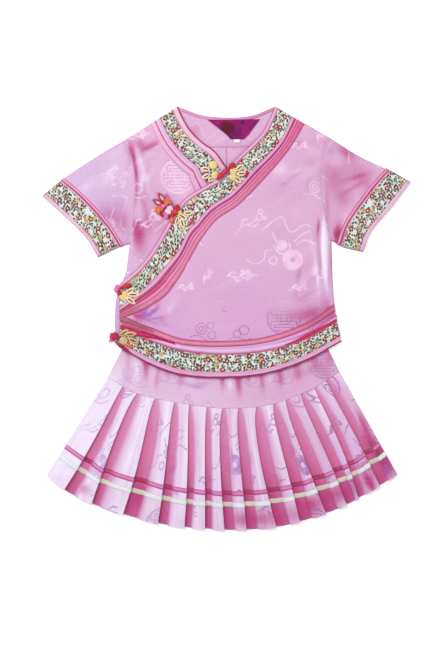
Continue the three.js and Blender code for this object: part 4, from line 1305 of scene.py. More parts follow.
@dataclass
class Skirt:
    """Waistband, yoke, knife pleats and the two ribbons sewn across them."""

    shade: "Palette"
    pleats: tuple[Pleat, ...] = tuple(Pleat(*row) for row in (
        (-178, -269, -236, 0), (-154, -237, -262, 13, 4, 0.2, 0.7), (-133, -198, -280, 8, -2, 0.28, 2.0),
        (-106, -146, -297, 19, 5, 0.26), (-77, -97, -309, 12, 2, 0.22), (-55, -59, -314, 9, 3), (-28, -28, -316, 9, 0),
        (-5, 4, -318, 14, -2, 0.24), (19, 37, -317, 14, 0, 0.24), (46, 84, -312, 18, -4, 0.3),
        (71, 118, -303, 16, 1, 0.34), (90, 157, -290, 16, 0, 0.34), (112, 186, -277, 12, 3, 0.3),
        (132, 201, -268, 7, 6, 0.3), (151, 235, -248, 11, 3, 0.34), (169, 256, -234, 0)))
    rise_at_hem: float = 5.6
    rise_at_seam: float = 1.4
    tuck: float = 4.5  # how far each fold overhangs its recess
    notch: float = 3.0  # how much higher the hem lies in a recess
    narrow: float = 0.3  # how wide a recess is at the seam, as a share of its width at the hem
    narrowest: float = 2.6  # and at most
    rows: int = 96
    pink: tuple[float, float] = (0.283, 0.322)  # shares of the way up
    cream: tuple[float, float] = (0.187, 0.227)

    def pleated(self, shares: Array) -> tuple[Array, Array]:
        """The pleated cloth at some shares of the way up from the hem.

        Args:
            shares: how far up each row lies.

        Returns:
            Places in space, and how deep in a recess each is, from 0 to 1, which is also how much painted shade it
            takes, fading over the panel beside each recess.
        """
        panel = (0, 0.04, 0.1, 0.17, 0.26, 0.37, 0.49, 0.61, 0.73, 0.84, 0.93, 0.98, 1.0)
        rounded = ((0.5, 0.93), (0.8, 0.8), (0.4, 0.66))  # round the fold: millimetres past it, height
        under = ((0.35, 0.56), (1.0, 0.42), (1.0, 0.2), (0.3, 0.07))  # shares of the tuck under it, height
        # each column of the cloth: places at the hem and the seam, height, depth (also its painted shade), millimetres
        # past the fold, share of the tuck, bow, and how far its recess opens to its side
        table: list[tuple[float, ...]] = []
        for index, (start, stop) in enumerate(zip(self.pleats, self.pleats[1:])):
            last = index == len(self.pleats) - 2
            start_hem, stop_hem = start.hem + start.recess / 2, stop.hem - stop.recess / 2
            start_slot, slot = (min(pleat.recess * self.narrow, self.narrowest) for pleat in (start, stop))
            start_top, stop_top = start.top + start_slot / 2, stop.top - slot / 2
            start_gap, gap = start.recess * start.flare, stop.recess * stop.flare
            for share in panel:
                rise = (0.05 + 0.95 * (1 - (1 - share) ** 1.75)) * (1 - 0.75 * share if last else 1)
                # painted shade fades over the left part of each panel
                deep = 0.55 * math.exp(-((share / start.soft) ** 1.3)) + 0.3 * math.exp(-share / 0.45) if index else 0.0
                table.append((start_hem + (stop_hem - start_hem) * share, start_top + (stop_top - start_top) * share,
                              rise, deep, 0, 0, start.bow + (stop.bow - start.bow) * share,
                              start_gap * (1 - share) - gap * share))
            if not last:
                table += [(stop_hem, stop_top, rise, 0.05, push, 0, stop.bow, -gap) for push, rise in rounded]
                table += [(stop_hem, stop_top, rise, 1.0, 0, tuck, stop.bow, -gap) for tuck, rise in under]
                table += [(stop_hem + stop.recess * share, stop_top + slot * share, 0.05, 1.0 - 0.2 * share, 0, 0,
                           stop.bow, gap * (2 * share - 1)) for share in (0.25, 0.6, 0.9)]
        hem, top, rise, deep, push, tuck, bow, gap = np.array(table).T[:, None]
        drop = np.interp(hem, [pleat.hem for pleat in self.pleats], [pleat.drop for pleat in self.pleats])
        up = shares[:, None]
        open_ = 1 - up
        sunk = np.clip((deep - 0.5) * 2, 0, 1)
        seam_y = height_at(curve(SKIRT.seam), top[0])[None]
        foot = drop + self.notch * sunk
        x = hem + (top - hem) * up + bow * 4 * up * open_
        x = x + gap / 2 * (1 - np.exp(-open_ / 0.11) - open_ * 0.9) * 0.8 * (1 - 0.1 * open_)
        x = x + push * (0.35 + 0.65 * open_) - tuck * self.tuck * (0.12 + 0.88 * open_)
        y = foot + (seam_y - foot) * up
        lift = self.rise_at_seam + (self.rise_at_hem - self.rise_at_seam) * open_**0.85
        wave = 0.5 * rippled(x * 1.3, y * 0.6, 0.7) * (1 - sunk) * np.clip(rise * 2, 0, 1)
        flare = 0.5 * np.exp(-up / 0.02) * np.sin(hem / 9.0)
        z = LAYER + CLOTH + 0.25 + lift * rise + wave + flare * (1 - sunk)
        z = z * (1 - 0.22 * np.exp(-open_ / 0.02)) + 0.35 * np.exp(-open_ / 0.02)
        return np.dstack([x, y, z]), np.broadcast_to(deep, x.shape) * (0.72 + 0.28 * open_ ** 0.5)

    def skirt_front(self) -> None:
        """The pleats that show, and the ribbons across them."""
        fine = np.concatenate([[0, 0.003, 0.008], np.linspace(0.016, 1, self.rows)])
        solid, deep = self.pleated(fine)
        normal = normals_of(solid)
        lengths = np.cumsum(np.linalg.norm(np.diff(solid, axis=1), axis=2), axis=1)
        across = np.concatenate([np.zeros((len(fine), 1)), lengths], axis=1)
        middle = across[0] - across[0].mean()
        cloth = np.dstack([np.broadcast_to(middle, across.shape) + 8, solid[..., 1] + 94])
        made = shell("pleats_front", solid, solid - normal * 0.5, cloth, {"deep": deep})
        self.shade.skirt(made, True)
        ride(made, "skirt_pleats_front", "skirt_brocade", stands_for=True)
        round(area_of(solid), 5)
        # painted shade along each ribbon's edges, stored with it
        edge = np.array([0.25, 0.55, 0.65, 0.65, 0.65, 0.55, 0.25])[:, None, None]
        painted_edge_shade = np.array([0.3, 0.8, 0.0, 0.0, 0.0, 0.3, 1.0])[:, None]
        for name, node, slot, (low, high) in (
                ("pink_ribbon_front", "skirt_ribbon_pink", "pink_ribbon", self.pink),
                ("cream_ribbon_front", "skirt_ribbon_cream", "cream_ribbon", self.cream)):
            solid, deep = self.pleated(np.linspace(low, high, len(edge)))
            values = {"deep": deep, "edge": np.broadcast_to(painted_edge_shade, deep.shape)}
            normal = normals_of(solid)
            made = shell(name, solid + normal * edge, solid + normal * 0.05, None, values)
            self.shade.ribbon(made, node)
            ride(made, node, slot, stands_for=True)
            round(area_of(solid), 6)

    def skirt_back(self) -> None:
        """The pleats of the back, pressed flat under the front."""
        shares = np.linspace(0, 1, 40)[:, None, None]
        hem = np.array([[pleat.hem, pleat.drop + 1] for pleat in self.pleats])
        top_x = np.array([pleat.top for pleat in self.pleats])
        top = np.stack([top_x, height_at(curve(SKIRT.seam), top_x)], axis=1)
        steps = np.linspace(0, len(hem) - 1, 8 * (len(hem) - 1) + 1)
        foot, head = (np.stack([np.interp(steps, np.arange(len(line)), line[:, axis]) for axis in (0, 1)], axis=1)
                      for line in (hem, top))
        rows = foot[None] * (1 - shares) + head[None] * shares
        pressed = 0.3 * (steps % 1.0)[None] * np.ones((len(shares), 1))
        made = cloth_object("pleats_back", rows, CLOTH + pressed, Grain(11, 90), 0.8,
                            {"deep": np.zeros(rows.shape[:2])})
        self.shade.skirt(made, True)
        ride(made, "skirt_pleats_back", "skirt_brocade", stands_for=True)
        area = area_of(np.dstack([rows, CLOTH + pressed]))

    def yoke(self, name: str, node: str, floor: float, gathered: bool) -> None:
        """One face of the yoke between the waistband and the pleats.

        Args:
            name: the piece's name.
            node: the node that it stands for.
            floor: height of what it lies on.
            gathered: whether it is gathered under the hem, as the front is.
        """
        steps = 200 if gathered else 90
        top = raised(spread(curve(SKIRT.band_foot), steps), -0.3)
        seam = raised(spread(curve(SKIRT.seam), steps), -0.6)
        up = 34 if gathered else 14
        rows = patch(seam, top, spread(places(seam[0], top[0]), up), spread(places(seam[-1], top[-1]), up))
        x, y = rows[..., 0], rows[..., 1]
        height = np.full(x.shape, floor + CLOTH)
        if gathered:
            low = np.linspace(1, 0, up + 1)[:, None]
            folds = 0.5 + 0.5 * np.sin(x / 5.2 + 2.2 * np.sin(x / 23) + 0.9 * np.sin(y / 19))
            broad = 0.5 + 0.5 * np.sin(x / 19 + 1.1 * np.sin(y / 31) + 0.8)
            height = height + (0.5 * folds + 0.6 * broad) * low ** 0.6 * np.exp(-((low - 0.62) / 0.42) ** 2)
            height = height + 0.5 * np.exp(-((distance_to(seam, x, y) / 4) ** 2))
        made = cloth_object(name, rows, height, Grain(23, 277), CLOTH, {"deep": np.zeros(x.shape)})
        self.shade.skirt(made, False)
        declare(made, node, "skirt_brocade", rows, height)

    def waistband(self) -> None:
        """The waistband, a flat tube under the jacket's hem."""
        low, high = spread(curve(SKIRT.band_foot), 90), spread(curve(SKIRT.waist), 90)
        share = np.linspace(0, 1, 9)[:, None, None]
        rows = low[None] * (1 - share) + high[None] * share
        floor = np.zeros(rows.shape[:2])
        made = tube_of_cloth("waistband_cloth", rows, floor, floor + 2.8)
        self.shade.skirt(made, False)
        declare(made, "skirt_waistband", "skirt_brocade", rows, floor, flat=(620, 23), layers=2)

    def build(self) -> None:
        """Makes the whole skirt."""
        self.waistband()
        self.yoke("yoke_back", "skirt_yoke_back", 0.0, False)
        self.yoke("yoke_front", "skirt_yoke_front", LAYER, True)
        self.skirt_back()
        self.skirt_front()


# ---------------------------------------------------------------- finishes

Colour = tuple[float, float, float]
Socket = bpy.types.NodeSocket
Spot = tuple[float, float]

# radians of thread to the metre
BROCADE_THREADS = 5200.0
SATIN_THREADS = 6200.0
RIBBON_THREADS = 4200.0
LABEL_THREADS = 3600.0
TAB_THREADS = 4600.0
COTTON_THREADS = 1900.0


def light(red: int, green: int, blue: int) -> Colour:
    """Linear colour from the usual 0 to 255 values."""
    return tuple(((v / 255 + 0.055) / 1.055) ** 2.4 if v > 10 else v / 255 / 12.92 for v in (red, green, blue))


class Graph:
    """Places nodes in a tree and links them."""

    def __init__(self, tree: bpy.types.NodeTree) -> None:
        """Keeps the tree that the nodes go in."""
        self.tree = tree

    def node(self, kind: str, inputs: Optional[dict] = None, **settings: object) -> bpy.types.Node:
        """Adds a node.

        Args:
            kind: its type, without the ShaderNode in front.
            inputs: values or sockets for its inputs, by name or number.
            settings: its own settings.

        Returns:
            The node.
        """
        made = self.tree.nodes.new("ShaderNode" + kind)
        for key, value in settings.items():
            setattr(made, key, value)
        for key, value in (inputs or {}).items():
            self.feed(made.inputs[key], value)
        return made

    def feed(self, socket: Socket, value: object) -> None:
        """Links a socket, or sets it to a value."""
        if isinstance(value, Socket):
            self.tree.links.new(value, socket)
        elif isinstance(value, tuple) and len(value) == 3 and socket.type == "RGBA":
            socket.default_value = (*value, 1)
        else:
            socket.default_value = value

    def math(self, operation: str, *values: object, clamp: bool = False) -> Socket:
        """Math node on numbers or sockets."""
        return self.node("Math", dict(enumerate(values)), operation=operation, use_clamp=clamp).outputs[0]

    def times(self, first: object, second: object, clamp: bool = False) -> Socket:
        """Product of two numbers."""
        return self.math("MULTIPLY", first, second, clamp=clamp)

    def plus(self, first: object, second: object, clamp: bool = False) -> Socket:
        """Sum of two numbers."""
        return self.math("ADD", first, second, clamp=clamp)

    def minus(self, first: object, second: object) -> Socket:
        """Difference of two numbers."""
        return self.math("SUBTRACT", first, second)

    def vector(self, operation: str, *values: object, scale: object = None) -> Socket:
        """Vector math node, whose result is a number for a dot product or a length."""
        inputs = dict(enumerate(values))
        if scale is not None:
            inputs["Scale"] = scale
        made = self.node("VectorMath", inputs, operation=operation)
        return made.outputs["Value" if operation in ("DOT_PRODUCT", "LENGTH", "DISTANCE") else "Vector"]

    def mix(self, factor: object, first: object, second: object) -> Socket:
        """Mix of two colours."""
        return self.node("Mix", {0: factor, 6: first, 7: second}, data_type="RGBA").outputs[2]

    def spans(self, value: object, low: float, high: float, start: float = 0.0, stop: float = 1.0) -> Socket:
        """Smooth step of a value between two limits."""
        return self.node("MapRange", {0: value, 1: low, 2: high, 3: start, 4: stop},
                         interpolation_type="SMOOTHSTEP").outputs[0]

    def coat(self, colour: object, paint: object, value: object, low: float, high: float, start: float = 0.0,
             stop: float = 1.0) -> Socket:
        """Colour with a paint over it, as thick as the smooth step of a value."""
        return self.mix(self.spans(value, low, high, start, stop), colour, paint)

    def noise(self, place: object, scale: float, detail: float = 2.0, roughness: float = 0.5,
              output: str = "Fac") -> Socket:
        """Noise at a place."""
        inputs = {"Vector": place, "Scale": scale, "Detail": detail, "Roughness": roughness}
        return self.node("TexNoise", inputs).outputs[output]

    def shaken(self, place: object, scale: float, detail: float, reach: float) -> Socket:
        """Place that noise has moved, up to half a reach each way."""
        away = self.vector("SUBTRACT", self.noise(place, scale, detail, output="Color"), (0.5, 0.5, 0.5))
        return self.vector("ADD", place, self.vector("SCALE", away, scale=reach))

    def parts(self, vector: object) -> Sequence[Socket]:
        """The parts of a vector along x, y and z."""
        return self.node("SeparateXYZ", {0: vector}).outputs

    def place(self) -> Socket:
        """Place on the piece, in metres."""
        return self.node("TexCoord").outputs["Object"]

    def far_from(self, x: float, y: float) -> Socket:
        """Distance over the table from a place to another, in metres."""
        return self.vector("DISTANCE", self.vector("MULTIPLY", self.place(), (1, 1, 0)), (x, y, 0))

    def cloth(self) -> Socket:
        """The piece's own cloth coordinates, in metres."""
        return self.node("UVMap", uv_map="cloth").outputs[0]

    def value(self, name: str) -> Socket:
        """Number stored at each vertex."""
        return self.node("Attribute", attribute_name=name).outputs["Fac"]

    def group(self, tree: bpy.types.NodeTree, **inputs: object) -> Sequence[Socket]:
        """Outputs of a node group that is given some inputs."""
        return self.node("Group", inputs, node_tree=tree).outputs


def group(name: str, inputs: dict[str, str], outputs: dict[str, str]) -> tuple[bpy.types.NodeTree, Graph, dict, dict]:
    """Empty node group.

    Args:
        name: its name.
        inputs: kinds of its inputs, by name.
        outputs: kinds of its outputs, by name.

    Returns:
        The group, its graph, its input sockets and its output sockets, by name.
    """
    tree = bpy.data.node_groups.new(name, "ShaderNodeTree")
    for sockets, way in ((inputs, "INPUT"), (outputs, "OUTPUT")):
        for key, kind in sockets.items():
            tree.interface.new_socket(name=key, in_out=way, socket_type="NodeSocket" + kind)
    start, stop = tree.nodes.new("NodeGroupInput"), tree.nodes.new("NodeGroupOutput")
    return tree, Graph(tree), {key: start.outputs[key] for key in inputs}, {key: stop.inputs[key] for key in outputs}


@dataclass(frozen=True)
class Stroke:
    """A woven line: a straight run, or a ring if its ends are the same place."""

    start: Spot
    end: Spot
    width: float = 1.3
    radius: float = 0.0

    def distance(self, graph: Graph, place: Socket) -> Socket:
        """Distance in millimetres from a place to the line's middle, less half its width.

        Args:
            graph: the graph that works it out.
            place: the place, in millimetres.

        Returns:
            The distance.
        """
        start, step = (*self.start, 0.0), np.array([*self.end, 0.0]) - np.array([*self.start, 0.0])
        away = graph.vector("SUBTRACT", place, start)
        if self.radius:
            far = graph.math("ABSOLUTE", graph.minus(graph.vector("LENGTH", away), self.radius))
        else:
            share = graph.times(graph.vector("DOT_PRODUCT", away, tuple(step)), 1 / float(step @ step), clamp=True)
            far = graph.vector("DISTANCE", away, graph.vector("SCALE", tuple(step), scale=share))
        return graph.minus(far, self.width / 2)


def ring(x: float, y: float, radius: float, width: float = 1.3) -> Stroke:
    """Woven ring."""
    return Stroke((x, y), (x, y), width, radius)


def run(points: Sequence[Spot], width: float = 1.3) -> list[Stroke]:
    """Woven line through several points."""
    return [Stroke(a, b, width) for a, b in zip(points, points[1:])]


def wavy(start: Spot, end: Spot, swing: float, width: float = 1.2, steps: int = 9) -> list[Stroke]:
    """Woven ribbon that swings once to each side between two places.

    Args:
        start: where it starts.
        end: where it ends.
        swing: how far it swings.
        width: how broad its thread is.
        steps: how many straight runs it has.

    Returns:
        Its runs.
    """
    first, last = np.array(start), np.array(end)
    side = np.array([first[1] - last[1], last[0] - first[0]]) / np.linalg.norm(last - first)
    shares = [step / steps for step in range(steps + 1)]
    return run([tuple(first + (last - first) * share + side * swing * math.sin(2 * math.pi * share))
                for share in shares], width)


def flowing(points: Sequence[Spot], steps: int, width: float) -> list[Stroke]:
    """Woven ribbon that flows through several points."""
    return run([tuple(place) for place in spread(curve(places(*points)), steps)], width)


def sprig(x: float, y: float, turn: float, size: float) -> list[Stroke]:
    """Small flower on a stalk, with two leaves.

    Args:
        x: its middle across.
        y: its middle up the repeat.
        turn: its turn in degrees.
        size: half its length.

    Returns:
        Its lines.
    """
    cos, sin = math.cos(math.radians(turn)), math.sin(math.radians(turn))

    def at(u: float, v: float) -> Spot:
        """A place on the sprig, from its middle and along its turn."""
        return x + size * (u * cos - v * sin), y + size * (u * sin + v * cos)

    rings = [ring(*at(u, v), size * radius, width)
             for u, v, radius, width in ((1, 0, 0.22, 1.8), (1.3, 0.3, 0.16, 1.6), (1.3, -0.26, 0.12, 2.2))]
    lines = (((-1, -0.1), (-0.35, 0.12), (0.25, -0.08), (0.78, 0)), 1.3), \
        (((-0.45, 0.1), (-0.1, 0.42), (0.2, 0.34)), 2.6), (((0.05, -0.05), (0.3, -0.42), (0.6, -0.34)), 2.2)
    return rings + [stroke for points, width in lines for stroke in run([at(*point) for point in points], width)]


@dataclass(frozen=True)
class Figures:
    """The traditional figures woven in the brocade, and the size of their repeat."""

    across: float = 170.0
    up: float = 212.0
    foot: float = 6.0  # where the repeat starts below its middle
    round: float = 22.0  # radius of the round figure's bars, and of the rim past them
    rim: float = 24.4

    def strokes(self) -> list[Stroke]:
        """Lines of the repeat, apart from the round one."""
        gourd = [
            ring(13, 87, 9.8, 11.0), ring(-3, 109, 4.0, 8.0), *run([(-17, 127), (-12, 116), (-6, 112)], 2.4),
            *run([(-15, 108), (-9, 99), (-1, 95), (10, 103), (8, 112)], 2.2)]
        ribbons = [
            *flowing([(-33, 131), (-14, 147), (-2, 152), (3, 139), (11, 128), (22, 134), (29, 140), (40, 137)],
                     14, 1.5),
            *flowing([(16, 115), (27, 125), (38, 130)], 4, 1.6), *flowing([(19, 110), (31, 117), (47, 110)], 5, 1.8),
            *flowing([(-57, 87), (-41, 81), (-29, 90), (-28, 101), (-18, 102)], 9, 1.5), ring(-16, 86, 5.6, 1.8)]
        sprigs = [stroke for row in (
            (-55, 140, 32, 21), (-76, 62, 4, 17), (-50, 66, 170, 10), (76, 18, -6, 18), (18, 45, 10, 11),
            (54, 60, 60, 9)) for stroke in sprig(*row)]
        curls = [
            ring(46, 196, 8.0, 1.2), ring(46, 196, 3.5, 1.2), ring(62, 186, 6.0, 1.2), ring(60, 201, 5.0, 1.2),
            *wavy((30, 184), (74, 176), 4), *wavy((34, 206), (70, 209), 3),
            ring(-70, 188, 5.5, 1.2), ring(-60, 194, 7.0, 1.2), *wavy((-82, 180), (-48, 183), 3)]
        return [*gourd, *ribbons, *sprigs, *curls]

    def medallion(self) -> list[Stroke]:
        """Quarter of the round long-life figure, centred on the repeat's corner."""
        return [stroke for width, *points in (
            (1.8, (0, 19), (15, 19)), (1.8, (0, 14.2), (14, 14.2), (14, 10)), (1.8, (0, 9.6), (9.5, 9.6)),
            (1.9, (0, 5), (19, 5), (19, 10)), (1.6, (5, 5), (5, 0)), (1.6, (11, 5), (11, 0)),
            (1.1, (0, 0), (20, 0))) for stroke in run(points, width)]


def nearest_stroke(graph: Graph, place: Socket, strokes: Sequence[Stroke]) -> Socket:
    """Distance from a place to the nearest of several woven lines.

    The renderer holds few values at once, so a few lines are measured at a time, and each
    bunch waits for the last by a shift too small to see.

    Args:
        graph: the graph that works it out.
        place: the place, in millimetres.
        strokes: the lines.

    Returns:
        The distance in millimetres, less half the line's width.
    """
    nearest, bunch = None, 14
    for first in range(0, len(strokes), bunch):
        if nearest is not None:
            shift = graph.vector("SCALE", (1.0, 0.0, 0.0), scale=graph.times(nearest, 1e-7))
            place = graph.vector("ADD", place, shift)
        for stroke in strokes[first : first + bunch]:
            far = stroke.distance(graph, place)
            nearest = far if nearest is None else graph.math("MINIMUM", nearest, far)
    return nearest


def figure_group(figures: Figures) -> bpy.types.NodeTree:
    """Node group that says where the brocade's figures are woven.

    Args:
        figures: the figures.

    Returns:
        The group, from the cloth's place to a mask.
    """
    tree, graph, given, gives = group("woven_figures", {"Cloth": "Vector"}, {"Figure": "Float"})
    wide, tall, foot = figures.across * MM, figures.up * MM, figures.foot * MM
    spot = graph.shaken(given["Cloth"], 160.0, 1.0, 0.0016)
    shifted = graph.vector("ADD", spot, (wide / 2, foot, 0))
    tile = graph.vector("MODULO", graph.vector("ADD", shifted, (wide * 20, tall * 20, 0)), (wide, tall, 1.0))
    place = graph.vector("SCALE", graph.vector("SUBTRACT", tile, (wide / 2, foot, 0)), scale=1000.0)
    lines = nearest_stroke(graph, graph.vector("MULTIPLY", place, (1, 1, 0)), figures.strokes())
    # the round figure stands once in two repeats, the next column's half way up between
    parts = graph.parts(spot)
    column = graph.math("FLOOR", graph.plus(graph.math("DIVIDE", parts[0], wide), 20.5))
    across = graph.minus(graph.math("MODULO", graph.plus(parts[0], wide * 20.5), wide), wide / 2)
    up = graph.plus(graph.plus(parts[1], tall * 21), graph.times(column, tall))
    up = graph.minus(graph.math("MODULO", up, tall * 2), tall)
    corner = graph.node("CombineXYZ", {0: across, 1: up}).outputs[0]
    folded = graph.vector("ABSOLUTE", graph.vector("SCALE", corner, scale=1000.0))
    bars = nearest_stroke(graph, folded, figures.medallion())
    radius = graph.vector("LENGTH", folded)
    bars = graph.math("MAXIMUM", bars, graph.minus(radius, figures.round))
    rim = graph.minus(graph.math("ABSOLUTE", graph.minus(radius, figures.rim)), 1.2)
    nearest = graph.math("MINIMUM", graph.math("MINIMUM", bars, rim), lines)
    worn = graph.spans(graph.noise(given["Cloth"], 70.0), 0.3, 0.62, 0.5, 1.0)
    graph.feed(gives["Figure"], graph.times(graph.spans(nearest, -0.6, 0.9, 1.0, 0.0), worn))
    return tree


def print_group() -> bpy.types.NodeTree:
    """Node group of the small flowers printed on the cotton bands."""
    tree, graph, given, gives = group("flower_print", {"Cloth": "Vector"}, {"Colour": "Color", "Height": "Float"})
    place = graph.shaken(given["Cloth"], 420.0, 2.0, 0.0018)

    def scatter(scale: float, offset: float, petals: float, depth: float) -> tuple[Socket, Sequence, Sequence]:
        """Scattered flowers.

        Args:
            scale: how many flowers there are to the metre.
            offset: shift of the place, so that no two kinds agree.
            petals: how many petals each has.
            depth: how far they stand out.

        Returns:
            Distance in millimetres from the nearest flower, its random colour, and the way to it.
        """
        spot = graph.vector("ADD", place, (offset, offset * 0.7, 0))
        cells = graph.node("TexVoronoi", {"Vector": spot, "Scale": scale, "Randomness": 0.75}, voronoi_dimensions="2D")
        away = graph.vector("SUBTRACT", spot, cells.outputs["Position"])
        parts = graph.parts(away)
        angle = graph.math("ARCTAN2", parts[1], parts[0])
        wave = graph.times(graph.math("COSINE", graph.times(angle, petals)), depth)
        far = graph.times(graph.vector("LENGTH", graph.vector("MULTIPLY", away, (1, 1, 0))), 1000.0)
        chance = graph.node("SeparateColor", {0: cells.outputs["Color"]}).outputs
        return graph.minus(far, wave), chance, parts

    def put(colour: object, far: Socket, reach: float, shown: Socket, paint: object) -> Socket:
        """Paints what lies within a distance in millimetres of the scattered flowers that are shown."""
        mask = graph.spans(far, reach - 0.18, reach + 0.18, 1.0, 0.0)
        return graph.mix(graph.times(mask, shown), colour, paint)

    ground = graph.coat(light(212, 217, 212), light(196, 192, 174), graph.noise(place, 90.0), 0.45, 0.62)
    # leaves, each turned its own way
    _, chance, parts = scatter(255.0, 0.3, 1.0, 0.0)
    turn = graph.times(chance[0], 6.28)
    cos, sin = graph.math("COSINE", turn), graph.math("SINE", turn)
    along_leaf = graph.plus(graph.times(parts[0], cos), graph.times(parts[1], sin))
    across_leaf = graph.minus(graph.times(parts[1], cos), graph.times(parts[0], sin))
    leaf_size = graph.node("CombineXYZ", {0: graph.times(along_leaf, 450.0), 1: graph.times(across_leaf, 620.0)})
    leaf = graph.spans(graph.vector("LENGTH", leaf_size.outputs[0]), 0.75, 1.05, 1.0, 0.0)
    leaf = graph.times(leaf, graph.math("GREATER_THAN", chance[2], 0.17))
    green = graph.mix(graph.math("POWER", chance[1], 1.9), light(34, 52, 52), light(132, 150, 140))
    colour = graph.mix(leaf, ground, green)
    berry, chance, _ = scatter(150.0, 0.9, 3.0, 0.15)
    paint = graph.mix(graph.math("GREATER_THAN", chance[0], 0.55), light(120, 30, 44), light(170, 128, 84))
    colour = put(colour, berry, 1.3, graph.math("GREATER_THAN", chance[2], 0.42), paint)
    for cells, offset, depth, rare, coats in (
            (72.0, 0.1, 0.4, 0.66,
             ((3.2, light(140, 106, 70)), (2.8, light(206, 178, 112)), (1.1, light(178, 96, 48)))),
            (60.0, 0.55, 0.5, 0.2, ((3.7, light(60, 22, 28)), (3.2, None), (1.4, light(226, 190, 178))))):
        far, chance, _ = scatter(cells, offset, 5.0, depth)
        shown = graph.math("GREATER_THAN", chance[2], rare)
        for reach, paint in coats:
            petal = paint or graph.mix(chance[0], light(112, 16, 32), light(164, 52, 52))
            colour = put(colour, far, reach, shown, petal)
    graph.feed(gives["Colour"], colour)
    graph.feed(gives["Height"], weave_height(graph, given["Cloth"], COTTON_THREADS, 0.5))
    return tree


def weave_height(graph: Graph, cloth: Socket, threads: object, depth: float) -> Socket:
    """Height of a plain weave with so many radians of thread to the metre."""
    warp, weft = (graph.math("SINE", graph.times(part, threads)) for part in tuple(graph.parts(cloth))[:2])
    return graph.times(graph.plus(graph.times(warp, weft), 1.0), depth)


def weave_group() -> bpy.types.NodeTree:
    """Node group of fine threads and the slow unevenness of laid cloth."""
    tree, graph, given, gives = group("fine_weave", {"Cloth": "Vector", "Threads": "Float"},
                                      {"Height": "Float", "Patches": "Float"})
    slub = graph.noise(graph.vector("MULTIPLY", given["Cloth"], (40, 400, 1)), 6.0)
    threads = weave_height(graph, given["Cloth"], given["Threads"], 0.35)
    graph.feed(gives["Height"], graph.plus(threads, graph.times(slub, 0.5)))
    graph.feed(gives["Patches"], graph.noise(given["Cloth"], 14.0, 3.0, 0.55))
    return tree


class Tone(Enum):
    """Colours of the satin bindings and seams: across the middle, and the painted shade of their turned sides, also
    used for random patches.
    """

    CUFF = (light(218, 176, 202), light(188, 92, 140))
    BACK = (light(204, 140, 180), light(172, 80, 132))
    PIPING = (light(184, 34, 96), light(136, 10, 62))
    HEM_PIPING = (light(200, 96, 146), light(166, 44, 104))
    FOLD = (light(184, 6, 78), light(140, 0, 60))
    # colours of a sheet of painted shadow
    PAINTED_SHADOW = (light(160, 84, 108), light(136, 44, 84))
    SEAM = (light(196, 134, 184), light(186, 118, 172))


class TapeLook(Enum):
    """Colours of the sewn tapes: the ground, then each line's place across in millimetres, half width and colour. The
    lines are partly the tapes' own stripes; the dark ones at the edges also hold painted shade and the pale ones
    painted highlight.
    """

    LAPEL = (light(202, 108, 150), (
        (0.8, 0.7, light(172, 34, 98)), (2.8, 1.0, light(218, 138, 182)), (5.2, 0.5, light(184, 66, 122)),
        (7.8, 1.5, light(204, 124, 138)), (11.0, 0.6, light(146, 40, 98))))
    LAPEL_EDGE = (light(212, 156, 190), ((0.5, 0.6, light(178, 84, 132)), (5.9, 0.6, light(176, 60, 112))))
    HEM = (light(200, 100, 142), (
        (0.6, 0.6, light(146, 22, 84)), (4.8, 1.4, light(212, 134, 150)), (9.0, 0.7, light(172, 56, 124))))
    HEM_EDGE = (light(218, 166, 198), (
        (1.3, 1.7, light(140, 0, 82)), (6.4, 0.5, light(192, 120, 176)), (8.6, 0.5, light(204, 116, 164))))
    HEM_PALE = (light(206, 164, 206), ((4.0, 0.9, light(222, 190, 222)),))
    NECK = (light(214, 172, 204), (
        (0.8, 0.6, light(178, 80, 126)), (4.0, 0.5, light(196, 126, 172)), (10.0, 1.1, light(172, 26, 88)),
        (13.0, 0.9, light(220, 150, 190)), (18.4, 0.7, light(196, 104, 156))))
    NECK_EDGE = (light(220, 180, 206), ((0.9, 1.5, light(160, 4, 66)), (8.8, 0.7, light(196, 116, 158))))
    CUFF = (light(204, 112, 154), (
        (0.9, 1.2, light(166, 18, 78)), (3.8, 0.9, light(222, 156, 188)), (5.8, 0.5, light(182, 76, 126))))
    EDGING = (light(208, 160, 198), ((1.0, 0.7, light(196, 110, 158)), (5.2, 0.7, light(186, 70, 128))))
    EDGING_OUTER = (light(206, 156, 196), ((1.0, 0.6, light(190, 96, 150)), (3.0, 0.5, light(188, 80, 136))))


@dataclass(frozen=True)
class Satin:
    """Sheen of a smooth woven cloth, and the height of its threads."""

    roughness: float = 0.44
    sheen: float = 0.14
    sheen_roughness: float = 0.4
    specular: float = 0.4
    anisotropic: float = 0.3
    bump: float = 0.0001
    strength: float = 0.6

    def cover(self, graph: Graph, colour: object, height: Socket, roughness: Optional[Socket] = None) -> None:
        """Puts the shader on the surface.

        Args:
            graph: the material's graph.
            colour: the cloth's colour.
            height: height of its threads, from 0 to 1.
            roughness: roughness where it changes over the cloth.
        """
        normal = graph.node("Bump", {"Height": height, "Distance": self.bump, "Strength": self.strength})
        shader = graph.node("BsdfPrincipled", {
            "Base Color": colour, "Roughness": self.roughness if roughness is None else roughness,
            "Sheen Weight": self.sheen, "Sheen Roughness": self.sheen_roughness,
            "Sheen Tint": (1.0, 0.86, 0.95, 1.0), "Specular IOR Level": self.specular,
            "Anisotropic": self.anisotropic, "Normal": normal.outputs[0]})
        graph.node("OutputMaterial", {0: shader.outputs[0]})


